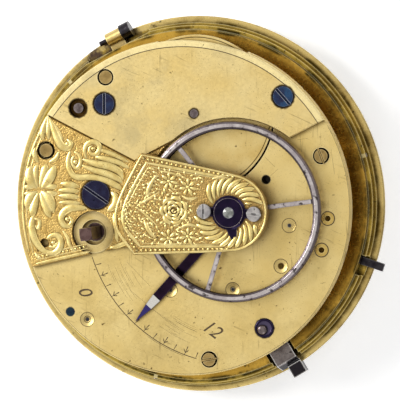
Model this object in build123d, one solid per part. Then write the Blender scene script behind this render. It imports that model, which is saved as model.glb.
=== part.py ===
from build123d import *
from math import acos, atan2, cos, degrees, hypot, pi, radians, sin, sqrt
import os

# Full-plate pocket watch movement with a fusee, a chain and a lever escapement, in millimetres.
# +Z runs from the dial side to the back, +Y points to 12 o'clock, and z = 0 is the seat of the dial
# on the brass edge. Angles are in degrees, anticlockwise as seen from the back, from +X.

# Plates and heights
PILLAR_PLATE_RADIUS = 21.35
EDGE_WALL_RADIUS = PILLAR_PLATE_RADIUS + 0.85
EDGE_LIP_RADIUS = PILLAR_PLATE_RADIUS + 0.55
EDGE_BORE_RADIUS = PILLAR_PLATE_RADIUS - 1.75
FLANGE_RADIUS = EDGE_WALL_RADIUS + 0.8
FLANGE_HEIGHT = 0.5
FLANGE_BEVEL = 0.15
EDGE_STEP_HEIGHT = 1.6
EDGE_HEIGHT = 2.6
PILLAR_PLATE_LOW = 2.0
PILLAR_PLATE_THICKNESS = 1.4
PILLAR_HEIGHT = 4.5
TOP_PLATE_THICKNESS = 1.2
TOP_PLATE_RADIUS = PILLAR_PLATE_RADIUS - 1.05
PLATE_BEVEL = 0.12
NAME_PLATE_THICKNESS = 0.9
NAME_PLATE_RADIUS = TOP_PLATE_RADIUS - 0.1
PILLAR_PLATE_TOP = PILLAR_PLATE_LOW + PILLAR_PLATE_THICKNESS
TOP_PLATE_LOW = PILLAR_PLATE_TOP + PILLAR_HEIGHT
TOP_PLATE_TOP = TOP_PLATE_LOW + TOP_PLATE_THICKNESS
NAME_PLATE_TOP = TOP_PLATE_TOP + NAME_PLATE_THICKNESS

# Clearances: FIT is the radial clearance of a running or seated round part, GAP parts two moving faces
FIT = 0.03
GAP = 0.05
SLACK = 0.1

# Places of the arbors, measured from the middle of the movement
CENTRE = (0.0, 0.0)
FUSEE_AT = (-11.34, 2.52)
BARREL_AT = (6.5, 9.46)
THIRD_AT = (-6.28, -7.98)
FOURTH_AT = (0.61, -11.42)
ESCAPE_AT = (7.18, -11.63)
LEVER_AT = (10.36, -7.78)
BALANCE_AT = (5.22, -3.17)
MINUTE_WHEEL_AT = (4.73, -0.83)
POTENCE_AT = (10.05, -1.6)

# Wheels: teeth and thickness
GREAT_TEETH = 48
CENTRE_LEAVES = 12
CENTRE_TEETH = 64
THIRD_LEAVES = 8
THIRD_TEETH = 60
FOURTH_LEAVES = 8
FOURTH_TEETH = 56
ESCAPE_LEAVES = 7
ESCAPE_TEETH = 15
CANNON_LEAVES = 12
MINUTE_TEETH = 36
MINUTE_LEAVES = 10
HOUR_TEETH = 40
WHEEL_THICKNESS = 0.25
GREAT_WHEEL_THICKNESS = 0.55
ARBOR_RADIUS = 0.35
PIVOT_RADIUS = 0.2

# Tooth forms, in modules and as shares of the tooth pitch: addendum, dedendum, half tip, half root
WHEEL_FORM = (0.95, 1.1, 0.09, 0.27)
LEAF_FORM = (0.5, 1.5, 0.10, 0.20)

# Levels between the plates
SINK_DEPTH = 0.75
SINK_MARGIN = 0.25
CENTRE_WHEEL_LOW = PILLAR_PLATE_TOP - SINK_DEPTH + 0.2
GREAT_WHEEL_LOW = PILLAR_PLATE_TOP + 0.1
GREAT_WHEEL_TOP = GREAT_WHEEL_LOW + GREAT_WHEEL_THICKNESS
RATCHET_THICKNESS = 0.2
RATCHET_LOW = GREAT_WHEEL_TOP + GAP
CONE_LOW = RATCHET_LOW + RATCHET_THICKNESS + GAP
CONE_HEIGHT = 2.7
CONE_BASE_RADIUS = 6.4
CONE_TOP_RADIUS = 2.9
SNAIL_THICKNESS = 0.2
SNAIL_RADIUS = 3.4
SNAIL_NOSE_RADIUS = 4.3
SNAIL_ANGLE = 150
MAINTAINING_RADIUS = 8.3
CENTRE_PIVOT_RADIUS = 0.85
CENTRE_TOP_PIVOT_RADIUS = 0.4
SECONDS_ARBOR_RADIUS = 0.22
FOURTH_WHEEL_LOW = GREAT_WHEEL_TOP + 0.4
ESCAPE_WHEEL_LOW = FOURTH_WHEEL_LOW + WHEEL_THICKNESS + 1.0
PALLET_LOW = ESCAPE_WHEEL_LOW + WHEEL_THICKNESS + 0.1
PALLET_THICKNESS = 0.3
LEVER_THICKNESS = 0.25
LEVER_LOW = PALLET_LOW + PALLET_THICKNESS
LEVER_TOP = LEVER_LOW + LEVER_THICKNESS
ROLLER_LOW = LEVER_TOP + 0.25
ROLLER_THICKNESS = 0.2
THIRD_WHEEL_LOW = TOP_PLATE_LOW - 1.05
STOP_IRON_HEIGHT = TOP_PLATE_LOW - 0.3
STOP_IRON_ORBIT = 7.6
STOP_IRON_BEARING = 60
STOP_IRON_TILT = 12
STOP_IRON_WIDTH = 0.8
STOP_IRON_THICKNESS = 0.2
STOP_IRON_PIN_RADIUS = 0.13
BANKING_REACH = 3.2
BANKING_ASIDE = 0.76
BANKING_PIN_RADIUS = 0.15
ESCAPE_RADIUS = 4.3
PALLET_HALF_SPAN = 32.5
POTENCE_ARM_LOW = 4.9
POTENCE_ARM_TOP = 5.5
POTENCE_PIVOT_RADIUS = 0.2
POTENCE_HOLE_RADIUS = 0.54
POTENCE_HOLE_AT = (10.45, -1.6)
POTENCE_SCREW_AT = (8.85, -1.75)
POTENCE_SCREW_SHANK = 0.35

# Barrel and chain
BARREL_CUT_RADIUS = 9.75
BARREL_DRUM_RADIUS = 8.75
BARREL_LID_RADIUS = BARREL_DRUM_RADIUS + 0.7
BARREL_RIM_RADIUS = BARREL_DRUM_RADIUS + 0.3
BARREL_WALL = 0.45
BARREL_LOW = GREAT_WHEEL_TOP + 0.25
BARREL_TOP = TOP_PLATE_TOP - 0.35
BARREL_LID_THICKNESS = 0.4
BARREL_FLOOR = 0.35
BARREL_ARBOR_RADIUS = 1.6
BARREL_ARBOR_NECK_RADIUS = 0.9
BARREL_LOWER_PIVOT_RADIUS = 0.9
BARREL_PIVOT_RADIUS = 0.5
SET_UP_SQUARE = 1.1
RATCHET_WHEEL_RADIUS = 2.6
RATCHET_WHEEL_ROOT = 2.25
CLICK_ANGLE = -25
CLICK_ORBIT = 4.6
CLICK_BEAK_ANGLE = CLICK_ANGLE - 26
RATCHET_WHEEL_LOW = PILLAR_PLATE_LOW - 0.85
MAINSPRING_TURNS = 8
MAINSPRING_THICKNESS = 0.14
CHAIN_THICKNESS = 0.28
CHAIN_HEIGHT = 0.3
CHAIN_PITCH = 0.95
CHAIN_BARREL_TURNS = 2
CHAIN_BARREL_CLIMB = 0.4
CHAIN_FUSEE_TURNS = 3
CHAIN_FUSEE_CLIMB = 0.35

# Balance, its cock and the regulator
BALANCE_RADIUS = 10.9
BALANCE_RIM_WIDTH = 1.0
BALANCE_RIM_HEIGHT = 0.7
BALANCE_ROUNDING = 0.34
BALANCE_LOW = TOP_PLATE_TOP + 1.4
BALANCE_ARM_LOW = BALANCE_LOW + 0.25
BALANCE_ARM_WIDTH = 0.55
BALANCE_ARM_THICKNESS = 0.3
BALANCE_HUB_RADIUS = 1.0
BALANCE_ARM_ANGLES = (-20, 102, 225)
STAFF_RADIUS = 0.4
STAFF_HOLE_RADIUS = 1.2
ROLLER_RADIUS = 2.05
IMPULSE_PIN_ORBIT = 1.7
IMPULSE_PIN_RADIUS = 0.16
COCK_TABLE_THICKNESS = 0.8
COCK_TABLE_TOP = TOP_PLATE_TOP + 3.3
COCK_END_RADIUS = 4.65
COCK_NECK_RADIUS = BALANCE_RADIUS + 0.4
COCK_TABLE_CORNERS = ((-1.03, 8.08), (-7.6, -2.26))
COCK_TABLE_LEFT = (-6.44, 2.9)
JOINT_LINE = ((-9.71, 17.73), (-2.67, 7.76))
JOINT_GAP = 0.04
COCK_LOWER_LINE = ((-20.07, 2.29), (-8.65, -0.72))
COCK_SCREW_AT = (-8.83, 6.39)
COCK_STEADY_HOLE_RADIUS = 0.5
NAME_PLATE_BACK = 7.76
NAME_PLATE_SIDE = 1.46
NAME_PLATE_CUT_RADIUS = 11.2
CAP_RADIUS = 2.05
CAP_THICKNESS = 0.4
CAP_SCREW_ORBIT = 3.04
CAP_SCREW_ANGLE = -30.4
CAP_SCREW_RADIUS = 0.9
CAP_SCREW_SHANK = 0.3
CAP_EAR_THICKNESS = 0.15
CAP_TAIL_ANGLE = 253.0
CAP_TAIL_REACH = 1.25
ENDSTONE_RADIUS = 0.65
INDEX_HUB_RADIUS = 2.6
INDEX_BOSS_RADIUS = 1.55
INDEX_REACH = 18.16
INDEX_WIDTH = 1.15
INDEX_TAPER = 3.96
INDEX_TIP = 2.4
INDEX_TIP_WIDTH = 0.86
INDEX_ANGLE = 200
INDEX_THICKNESS = 0.3
HAIRSPRING_RADIUS = 4.1
HAIRSPRING_TURNS = 6
HAIRSPRING_THICKNESS = 0.08
HAIRSPRING_HEIGHT = 0.25
HAIRSPRING_LOW = TOP_PLATE_TOP + 0.85
COLLET_RADIUS = 0.8
STUD_ANGLE = 150
STUD_RADIUS = 0.35
CURB_PIN_RADIUS = 0.08
CURB_PIN_ASIDE = 0.17

# Pillars, screws, plugs and pins
PILLAR_RADIUS = 1.2
PILLAR_FOOT_RADIUS = 1.5
PILLAR_END_RADIUS = 0.8
PILLAR_HOLE_RADIUS = 1.0
COCK_PILLAR_HOLE_RADIUS = 1.12
PILLAR_PIN_RADIUS = 0.13
PILLAR_TOPS = (NAME_PLATE_TOP - 0.1, NAME_PLATE_TOP - 0.1, TOP_PLATE_TOP + 0.25, TOP_PLATE_TOP + 0.25)
BIG_SCREW_HEAD_RADIUS = 1.8
SCREW_HEAD_RADIUS = 1.3
SCREW_HEAD_HEIGHT = 0.5
SCREW_HEAD_BEVEL = 0.1
SCREW_SHANK_RADIUS = 0.7
SCREW_SLOT_WIDTH = 0.28
SCREW_SLOT_DEPTH = 0.25
COCK_SCREW_SLOT = -62
NAME_PLATE_SCREW_SLOTS = (62, -76)
CAP_SCREW_SLOTS = (-36, 62)
OIL_SINK_RADIUS = 0.85
OIL_SINK_DEPTH = 0.15
OIL_SINK_CURVE = (OIL_SINK_RADIUS ** 2 + OIL_SINK_DEPTH ** 2) / (2 * OIL_SINK_DEPTH)
PLUG_RADIUS = 0.82
BLUED_SCREW_RADIUS = 1.2
BLUED_SCREW_HEAD = 0.45
DETENT_PIN_RADIUS = 0.55
NAME_PLATE_PIN_RADIUS = 0.6
NAME_PLATE_PIN_HOLE = 1.1
FUSEE_BUSH_RADIUS = 2.5
FUSEE_BUSH_BORE = 1.55
FUSEE_PIVOT_RADIUS = 1.1
FUSEE_PIVOT_TOP = TOP_PLATE_LOW + 0.6
FUSEE_ARBOR_RADIUS = 1.2
WINDING_SQUARE = 1.5
WINDING_SQUARE_HEIGHT = 4.7
WINDING_SQUARE_ANGLE = 70

# Case joint, bolt and stop lever at the rim
JOINT_ANGLE = 89
JOINT_RADIUS = FLANGE_RADIUS - 0.1
JOINT_HEIGHT = 1.55
KNUCKLE_RADIUS = 0.8
KNUCKLE_LENGTH = 1.95
JOINT_PIN_RADIUS = 0.5
JOINT_PIN_END = 1.0
JOINT_PIN_END_RADIUS = 0.3
CASE_KNUCKLE_RADIUS = 1.1
JOINT_HEAD_RADIUS = 1.0
JOINT_HEAD_LENGTH = 1.3
JOINT_SEAT = JOINT_HEIGHT - KNUCKLE_RADIUS - 0.3
BOLT_ANGLE = -87
BOLT_WIDTH = 2.7
BOLT_TRAVEL = 1.0
BOLT_NUB_WIDTH = 1.8
BOLT_NUB_LENGTH = 1.5
BOLT_NUB_OFFSET = 0.45
BOLT_NOTCH_WIDTH = 3.5
BOLT_LOW = FLANGE_HEIGHT + 0.15
BOLT_BLOCK_OUTER = FLANGE_RADIUS - 0.9
BOLT_BLOCK_INNER = TOP_PLATE_RADIUS - 0.3
BOLT_NOTCH_INNER = BOLT_BLOCK_INNER - BOLT_TRAVEL - 0.2
BOLT_TAIL_INNER = 15.6
BOLT_TAIL_WIDTH = 1.8
BOLT_SPRING_WIDTH = 0.35
BOLT_SPRING_ORBIT = BOLT_TAIL_INNER - GAP - BOLT_SPRING_WIDTH / 2
BOLT_SPRING_SPREAD = 50
BOLT_SPRING_HEIGHT = 0.9
STOP_LEVER_ANGLE = -46
STOP_LEVER_REACH = FLANGE_RADIUS + 1.2
STOP_LEVER_WIDTH = 0.95
STOP_LEVER_PIVOT = 15.2
STOP_LEVER_TURN = 6
STOP_LEVER_LOW = FLANGE_HEIGHT + 0.4
STOP_LEVER_HIGH = STOP_LEVER_LOW + 0.55
STOP_SWEEP = 2 * (STOP_LEVER_REACH - STOP_LEVER_PIVOT) * sin(radians(STOP_LEVER_TURN / 2))
STOP_SLOT_WIDTH = STOP_LEVER_WIDTH + STOP_SWEEP + 0.6
STOP_SLOT_ASIDE = -STOP_SWEEP / 2
EDGE_PIN_ANGLES = (-11.4, 108.6, 228.6)
EDGE_PIN_RADIUS = 0.28

# Dial side
DIAL_RADIUS = EDGE_LIP_RADIUS
DIAL_THICKNESS = 0.8
DIAL_RISE = 1.1
DIAL_HOLE_RADIUS = 1.5
DIAL_SECONDS_HOLE_RADIUS = 0.6
DIAL_FEET_ANGLES = (25, 145, 240)
DIAL_FEET_ORBIT = 16.6
DIAL_FOOT_RADIUS = 0.45
HAND_THICKNESS = 0.12
HOUR_HAND_LENGTH = 11.5
MINUTE_HAND_LENGTH = 17.6
SECONDS_HAND_LENGTH = 3.6
HOUR_PIPE_RADIUS = 1.2
CANNON_RADIUS = 0.8
CANNON_BORE = 0.5
CANNON_LOW = 0.9
CANNON_HIGH = 1.7
HOUR_WHEEL_LOW = 0.4
HOUR_HAND_LOW = -2.55
MINUTE_HAND_LOW = -3.1
SECONDS_HAND_LOW = -2.0
HAND_SQUARE = 0.7
HAND_SQUARE_LOW = -3.9
MINUTE_POST_RADIUS = 0.35
MINUTE_POST_LOW = 0.15
DIAL_SCREW_SHANK = 0.4
DIAL_SCREW_DEPTH = 0.9
DIAL_SCREW_HEAD = 0.9

# The time the hands show
HOURS = 10
MINUTES = 8.5
HOUR_HAND_ANGLE = 90 + 30 * HOURS + MINUTES / 2
MINUTE_HAND_ANGLE = 90 + 6 * MINUTES
SECONDS_HAND_ANGLE = 90 + 360 * (MINUTES % 1)


def polar(radius, angle, at=CENTRE):
    """The point at this radius and angle from a place."""
    return (at[0] + radius * cos(radians(angle)), at[1] + radius * sin(radians(angle)))


def heading(start, end):
    """The angle of the line from one place to another."""
    return degrees(atan2(end[1] - start[1], end[0] - start[0]))


def distance(start, end):
    return hypot(end[0] - start[0], end[1] - start[1])


def beside(start, end, along, aside):
    """The point this far along the line from start to end and this far to its left."""
    angle = heading(start, end)
    return polar(aside, angle + 90, polar(along, angle, start))


# Places near the rim keep their distance from the edge of the top plate
PILLARS_AT = (polar(TOP_PLATE_RADIUS - 1.90, 93.458),
              polar(TOP_PLATE_RADIUS - 1.99, 130.194),
              polar(TOP_PLATE_RADIUS - 2.42, -7.034),
              polar(TOP_PLATE_RADIUS - 1.75, -108.679))
DETENT_AT = polar(TOP_PLATE_RADIUS - 2.02, -159.444)
DETENT_PIN_AT = polar(TOP_PLATE_RADIUS - 1.18, -165.956)
COCK_STEADY_HOLE_AT = polar(TOP_PLATE_RADIUS - 2.53, 166.495)
NAME_PLATE_SCREWS_AT = (polar(TOP_PLATE_RADIUS - 4.45, 99.956),
                        polar(TOP_PLATE_RADIUS - 2.10, 19.889))
NAME_PLATE_PIN_AT = polar(TOP_PLATE_RADIUS - 2.65, 109.420)
PLUGS_AT = (polar(TOP_PLATE_RADIUS - 2.76, -31.597),
            polar(TOP_PLATE_RADIUS - 2.85, -44.304))
BLUED_SCREW_AT = polar(TOP_PLATE_RADIUS - 2.88, -83.772)
SINK_HOLES_AT = (THIRD_AT, FOURTH_AT, ESCAPE_AT, LEVER_AT, DETENT_AT)
CAP_SCREWS_AT = (polar(CAP_SCREW_ORBIT, CAP_SCREW_ANGLE, BALANCE_AT),
                 polar(CAP_SCREW_ORBIT, CAP_SCREW_ANGLE + 180, BALANCE_AT))
STUD_AT = polar(HAIRSPRING_RADIUS + 0.1, STUD_ANGLE, BALANCE_AT)
BANKING_PINS_AT = (beside(LEVER_AT, BALANCE_AT, BANKING_REACH, BANKING_ASIDE),
                   beside(LEVER_AT, BALANCE_AT, BANKING_REACH, -BANKING_ASIDE))
STOP_IRON_AT = polar(STOP_IRON_ORBIT, STOP_IRON_BEARING, FUSEE_AT)
CLICK_AT = polar(CLICK_ORBIT, CLICK_ANGLE, BARREL_AT)
STOP_LEVER_AT = polar(STOP_LEVER_PIVOT, STOP_LEVER_ANGLE)
BOLT_SPRING_SCREW_AT = polar(BOLT_SPRING_ORBIT, BOLT_ANGLE - BOLT_SPRING_SPREAD)
# Each screw of the dial side: its place and the lower face of what it holds
DIAL_SIDE_SCREWS = ((CLICK_AT, RATCHET_WHEEL_LOW),
                    (BOLT_SPRING_SCREW_AT, PILLAR_PLATE_LOW - BOLT_SPRING_HEIGHT - GAP),
                    (STOP_LEVER_AT, STOP_LEVER_LOW - GAP))
GREAT_TO_CENTRE = heading(CENTRE, FUSEE_AT)
CENTRE_TO_THIRD = heading(CENTRE, THIRD_AT)
THIRD_TO_FOURTH = heading(THIRD_AT, FOURTH_AT)
FOURTH_TO_ESCAPE = heading(FOURTH_AT, ESCAPE_AT)


def disc(radius, low, high, at=CENTRE):
    upright = (Align.CENTER, Align.CENTER, Align.MIN)
    return Pos(at[0], at[1], low) * Cylinder(radius, high - low, align=upright)


def ring(outer, inner, low, high, at=CENTRE):
    return disc(outer, low, high, at) - disc(inner, low - SLACK, high + SLACK, at)


def slab(outline, low, high):
    return Pos(0, 0, low) * extrude(outline, high - low)


def bevelled(body, size):
    """The body with the outer edge of its top face bevelled."""
    return chamfer(body.faces().sort_by(Axis.Z)[-1].outer_wire().edges(), size)


def bar(length, width, low, high, at, angle, start=0.0, aside=0.0):
    """A straight bar from start to start + length along the angle, moved aside to the left of it."""
    block = Box(length, width, high - low, align=(Align.MIN, Align.CENTER, Align.MIN))
    return Pos(at[0], at[1], low) * Rot(0, 0, angle) * Pos(start, aside, 0) * block


def turned(profile, at=CENTRE):
    """A body turned about an upright axis from (radius, height) points."""
    face = make_face(Polyline(*profile, close=True))
    return Pos(at[0], at[1], 0) * revolve(Plane.XZ * face, Axis.Z)


def polygon(*points):
    return make_face(Polyline(*points, close=True))


def round_face(radius, at=CENTRE):
    return Pos(at[0], at[1]) * Circle(radius)


def slot_cut(head_radius, top, at, angle):
    """The cut of a screwdriver slot in a head."""
    length = 2 * head_radius + SLACK
    return bar(length, SCREW_SLOT_WIDTH, top - SCREW_SLOT_DEPTH, top + SLACK, at, angle, start=-length / 2)


def screw(head_radius, shank_radius, tip, seat, top, at, slot_angle):
    """A slotted cheese-head screw whose head is between seat and top."""
    head = [(0, seat), (head_radius, seat), (head_radius, top - SCREW_HEAD_BEVEL),
            (head_radius - SCREW_HEAD_BEVEL, top), (0, top)]
    body = disc(shank_radius, tip, seat, at) + turned(head, at)
    return body - slot_cut(head_radius, top, at, slot_angle)


# Toothed wheels

def module_of(first_at, second_at, first_teeth, second_teeth):
    return 2 * distance(first_at, second_at) / (first_teeth + second_teeth)


GREAT_MODULE = module_of(FUSEE_AT, CENTRE, GREAT_TEETH, CENTRE_LEAVES)
CENTRE_MODULE = module_of(CENTRE, THIRD_AT, CENTRE_TEETH, THIRD_LEAVES)
THIRD_MODULE = module_of(THIRD_AT, FOURTH_AT, THIRD_TEETH, FOURTH_LEAVES)
FOURTH_MODULE = module_of(FOURTH_AT, ESCAPE_AT, FOURTH_TEETH, ESCAPE_LEAVES)
CANNON_MODULE = module_of(CENTRE, MINUTE_WHEEL_AT, CANNON_LEAVES, MINUTE_TEETH)
HOUR_MODULE = module_of(CENTRE, MINUTE_WHEEL_AT, HOUR_TEETH, MINUTE_LEAVES)


def toothed(teeth, module, form, phase):
    """The outline of a toothed wheel with one tooth in line with the phase angle."""
    addendum, dedendum, half_tip, half_root = form
    tip = module * (teeth / 2 + addendum)
    root = module * (teeth / 2 - dedendum)
    step = 360 / teeth
    points = []
    for tooth in range(teeth):
        middle = phase + tooth * step
        points += [polar(root, middle - half_root * step), polar(tip, middle - half_tip * step)]
        points += [polar(tip, middle + half_tip * step), polar(root, middle + half_root * step)]
    return polygon(*points)


def tooth_at(angle):
    """The phase of a wheel with a tooth on the line of centres."""
    return angle


def gap_at(angle, teeth):
    """The phase of a wheel with a gap on the line of centres."""
    return angle + 180 / teeth


def crossed(teeth, module, phase, rim, hub, arms, arm_width, bore):
    """A wheel crossed out to a rim, a hub and straight arms, as a flat outline."""
    rim_inner = module * (teeth / 2 - WHEEL_FORM[1]) - rim
    windows = Circle(rim_inner) - Circle(hub)
    for arm in range(arms):
        windows -= Rot(0, 0, phase + arm * 360 / arms) * Pos(rim_inner / 2, 0) * Rectangle(rim_inner,
                                                                                           arm_width)
    return toothed(teeth, module, WHEEL_FORM, phase) - windows - Circle(bore)


def wheel(outline, low, thickness, at):
    return Pos(at[0], at[1], 0) * slab(outline, low, low + thickness)


def pinion(teeth, module, phase, low, high, at):
    return Pos(at[0], at[1], 0) * slab(toothed(teeth, module, LEAF_FORM, phase), low, high)


# Case ring and plates

def rim_cut(width, inner, outer, low, high, angle, aside=0.0):
    return bar(outer - inner, width, low, high, CENTRE, angle, start=inner, aside=aside)


def brass_edge():
    flange = [(EDGE_BORE_RADIUS, 0), (FLANGE_RADIUS, 0), (FLANGE_RADIUS, FLANGE_HEIGHT - FLANGE_BEVEL),
              (FLANGE_RADIUS - FLANGE_BEVEL, FLANGE_HEIGHT), (EDGE_BORE_RADIUS, FLANGE_HEIGHT)]
    body = turned(flange)
    body += ring(EDGE_WALL_RADIUS, EDGE_BORE_RADIUS, FLANGE_HEIGHT, EDGE_STEP_HEIGHT)
    body += ring(EDGE_LIP_RADIUS, EDGE_BORE_RADIUS, EDGE_STEP_HEIGHT, EDGE_HEIGHT)
    body -= disc(PILLAR_PLATE_RADIUS + FIT, PILLAR_PLATE_LOW, EDGE_HEIGHT + SLACK)
    reach = FLANGE_RADIUS + SLACK
    body -= rim_cut(STOP_SLOT_WIDTH, EDGE_BORE_RADIUS - 1, reach, STOP_LEVER_LOW - 0.15,
                    EDGE_HEIGHT + SLACK,
                    STOP_LEVER_ANGLE, STOP_SLOT_ASIDE)
    body -= rim_cut(BOLT_NOTCH_WIDTH, EDGE_BORE_RADIUS - 1, reach, FLANGE_HEIGHT, EDGE_HEIGHT + SLACK,
                    BOLT_ANGLE)
    knuckle_room = JOINT_RADIUS - CASE_KNUCKLE_RADIUS
    seat_width = 2 * sqrt(EDGE_WALL_RADIUS ** 2 - knuckle_room ** 2) + 2 * SLACK
    body -= rim_cut(seat_width, PILLAR_PLATE_RADIUS + 2 * FIT, reach, JOINT_SEAT, EDGE_HEIGHT + SLACK,
                    JOINT_ANGLE)
    for angle in EDGE_PIN_ANGLES:
        body -= edge_pin(angle, EDGE_PIN_RADIUS)
    return body


def edge_pin(angle, radius):
    """A radial steel pin through the wall of the edge into the pillar plate."""
    inner = PILLAR_PLATE_RADIUS - 1.2
    length = EDGE_LIP_RADIUS + 0.1 - inner
    height = (PILLAR_PLATE_LOW + EDGE_HEIGHT) / 2
    pin = Cylinder(radius, length, align=(Align.CENTER, Align.CENTER, Align.MIN))
    return Rot(0, 0, angle) * Pos(inner, 0, height) * Rot(0, 90, 0) * pin


def pillar_plate():
    low, high = PILLAR_PLATE_LOW, PILLAR_PLATE_TOP
    body = disc(PILLAR_PLATE_RADIUS, low, high)
    centre_tip = CENTRE_MODULE * (CENTRE_TEETH / 2 + WHEEL_FORM[0])
    third_tip = CENTRE_MODULE * (THIRD_LEAVES / 2 + LEAF_FORM[0])
    body -= disc(centre_tip + SINK_MARGIN, high - SINK_DEPTH, high + SLACK)
    body -= disc(third_tip + SINK_MARGIN, high - SINK_DEPTH, high + SLACK, THIRD_AT)
    for at in PILLARS_AT:
        body -= disc(PILLAR_END_RADIUS, low - SLACK, high + SLACK, at)
    body -= disc(CENTRE_PIVOT_RADIUS + FIT, low - SLACK, high, CENTRE)
    body -= disc(FUSEE_PIVOT_RADIUS + FIT, low - SLACK, high + SLACK, FUSEE_AT)
    body -= disc(BARREL_LOWER_PIVOT_RADIUS + FIT, low - SLACK, high + SLACK, BARREL_AT)
    for at in (THIRD_AT, ESCAPE_AT, LEVER_AT, DETENT_AT):
        body -= disc(PIVOT_RADIUS + FIT, low - SLACK, high + SLACK, at)
    body -= disc(SECONDS_ARBOR_RADIUS + FIT, low - SLACK, high + SLACK, FOURTH_AT)
    for at in BANKING_PINS_AT:
        body -= disc(BANKING_PIN_RADIUS, low - SLACK, high + SLACK, at)
    for angle in DIAL_FEET_ANGLES:
        body -= disc(DIAL_FOOT_RADIUS + FIT, low - SLACK, high + SLACK, polar(DIAL_FEET_ORBIT, angle))
    for at, _ in DIAL_SIDE_SCREWS:
        body -= disc(DIAL_SCREW_SHANK, low - SLACK, low + DIAL_SCREW_DEPTH, at)
    body -= rim_cut(BOLT_NOTCH_WIDTH, BOLT_NOTCH_INNER, PILLAR_PLATE_RADIUS + 1, low - SLACK, high + SLACK,
                    BOLT_ANGLE)
    for angle in EDGE_PIN_ANGLES:
        body -= edge_pin(angle, EDGE_PIN_RADIUS)
    body += disc(MINUTE_POST_RADIUS, MINUTE_POST_LOW, low, MINUTE_WHEEL_AT)
    return body


def pillars():
    """Four turned pillars, riveted in the pillar plate, whose ends pass up through the plates above."""
    bodies = []
    for at, top in zip(PILLARS_AT, PILLAR_TOPS):
        waist = PILLAR_RADIUS - 0.3
        foot, head = PILLAR_PLATE_TOP, TOP_PLATE_LOW
        profile = [(0, PILLAR_PLATE_LOW), (PILLAR_END_RADIUS, PILLAR_PLATE_LOW), (PILLAR_END_RADIUS, foot),
                   (PILLAR_FOOT_RADIUS, foot), (PILLAR_FOOT_RADIUS, foot + 0.5), (waist, foot + 0.8),
                   (PILLAR_RADIUS, (foot + head) / 2), (waist, head - 0.8), (PILLAR_FOOT_RADIUS,
                                                                             head - 0.5),
                   (PILLAR_FOOT_RADIUS, head), (PILLAR_END_RADIUS, head), (PILLAR_END_RADIUS, top), (0,
                                                                                                     top)]
        bodies.append(turned(profile, at) - pillar_pin(at, FIT))
    return bodies


def pillar_pin(at, clearance=0.0):
    """The taper pin that holds a pillar end, lying across it in line with the rim."""
    length = 2.4 * PILLAR_END_RADIUS
    pin = Cylinder(PILLAR_PIN_RADIUS + clearance, length)
    height = TOP_PLATE_TOP + PILLAR_PIN_RADIUS + GAP
    return Pos(at[0], at[1], height) * Rot(0, 0, heading(CENTRE, at) + 90) * Rot(0, 90, 0) * pin


def pillar_pins():
    return [pillar_pin(at) for at in PILLARS_AT]


def top_plate():
    low, high = TOP_PLATE_LOW, TOP_PLATE_TOP
    body = bevelled(disc(TOP_PLATE_RADIUS, low, high), PLATE_BEVEL)
    body -= disc(BARREL_CUT_RADIUS, low - SLACK, high + SLACK, BARREL_AT)
    for at in PILLARS_AT:
        body -= disc(PILLAR_HOLE_RADIUS, low - SLACK, high + SLACK, at)
    body -= disc(FUSEE_BUSH_RADIUS, low - SLACK, high + SLACK, FUSEE_AT)
    for at in SINK_HOLES_AT:
        body -= Pos(at[0], at[1], high - OIL_SINK_DEPTH + OIL_SINK_CURVE) * Sphere(OIL_SINK_CURVE)
        body -= disc(PIVOT_RADIUS + FIT, low - SLACK, high, at)
    body -= disc(CENTRE_TOP_PIVOT_RADIUS + FIT, low - SLACK, high + SLACK, CENTRE)
    body += disc(INDEX_BOSS_RADIUS, high, high + INDEX_THICKNESS + 2 * GAP, BALANCE_AT)
    body -= disc(STAFF_HOLE_RADIUS, low - SLACK, high + 1, BALANCE_AT)
    for at in PLUGS_AT:
        body -= disc(PLUG_RADIUS, low - SLACK, high + SLACK, at)
    body -= disc(BLUED_SCREW_RADIUS, high - BLUED_SCREW_HEAD, high + SLACK, BLUED_SCREW_AT)
    body -= disc(SCREW_SHANK_RADIUS, low - SLACK, high, BLUED_SCREW_AT)
    body -= disc(POTENCE_HOLE_RADIUS, low - SLACK, high + SLACK, POTENCE_HOLE_AT)
    body -= disc(POTENCE_SCREW_SHANK, low - SLACK, low + 0.8, POTENCE_SCREW_AT)
    for at in NAME_PLATE_SCREWS_AT + (COCK_SCREW_AT,):
        body -= disc(SCREW_SHANK_RADIUS, low - SLACK, high + SLACK, at)
    body -= disc(NAME_PLATE_PIN_RADIUS, low - SLACK, high + SLACK, NAME_PLATE_PIN_AT)
    body -= disc(STUD_RADIUS, low - SLACK, high + SLACK, STUD_AT)
    body -= disc(DETENT_PIN_RADIUS, low - SLACK, high + SLACK, DETENT_PIN_AT)
    body += stop_post()
    return body


def name_plate_outline():
    far = NAME_PLATE_RADIUS + 3
    outer, inner = JOINT_LINE
    joint = heading(inner, outer)
    beyond = polar(far, joint, inner)
    blank = polygon(inner, (BALANCE_AT[0], NAME_PLATE_BACK), (BALANCE_AT[0], NAME_PLATE_SIDE),
                    (far, NAME_PLATE_SIDE), (far, far), (beyond[0], far), beyond)
    return (blank & Circle(NAME_PLATE_RADIUS)) - round_face(NAME_PLATE_CUT_RADIUS, BALANCE_AT)


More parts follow.
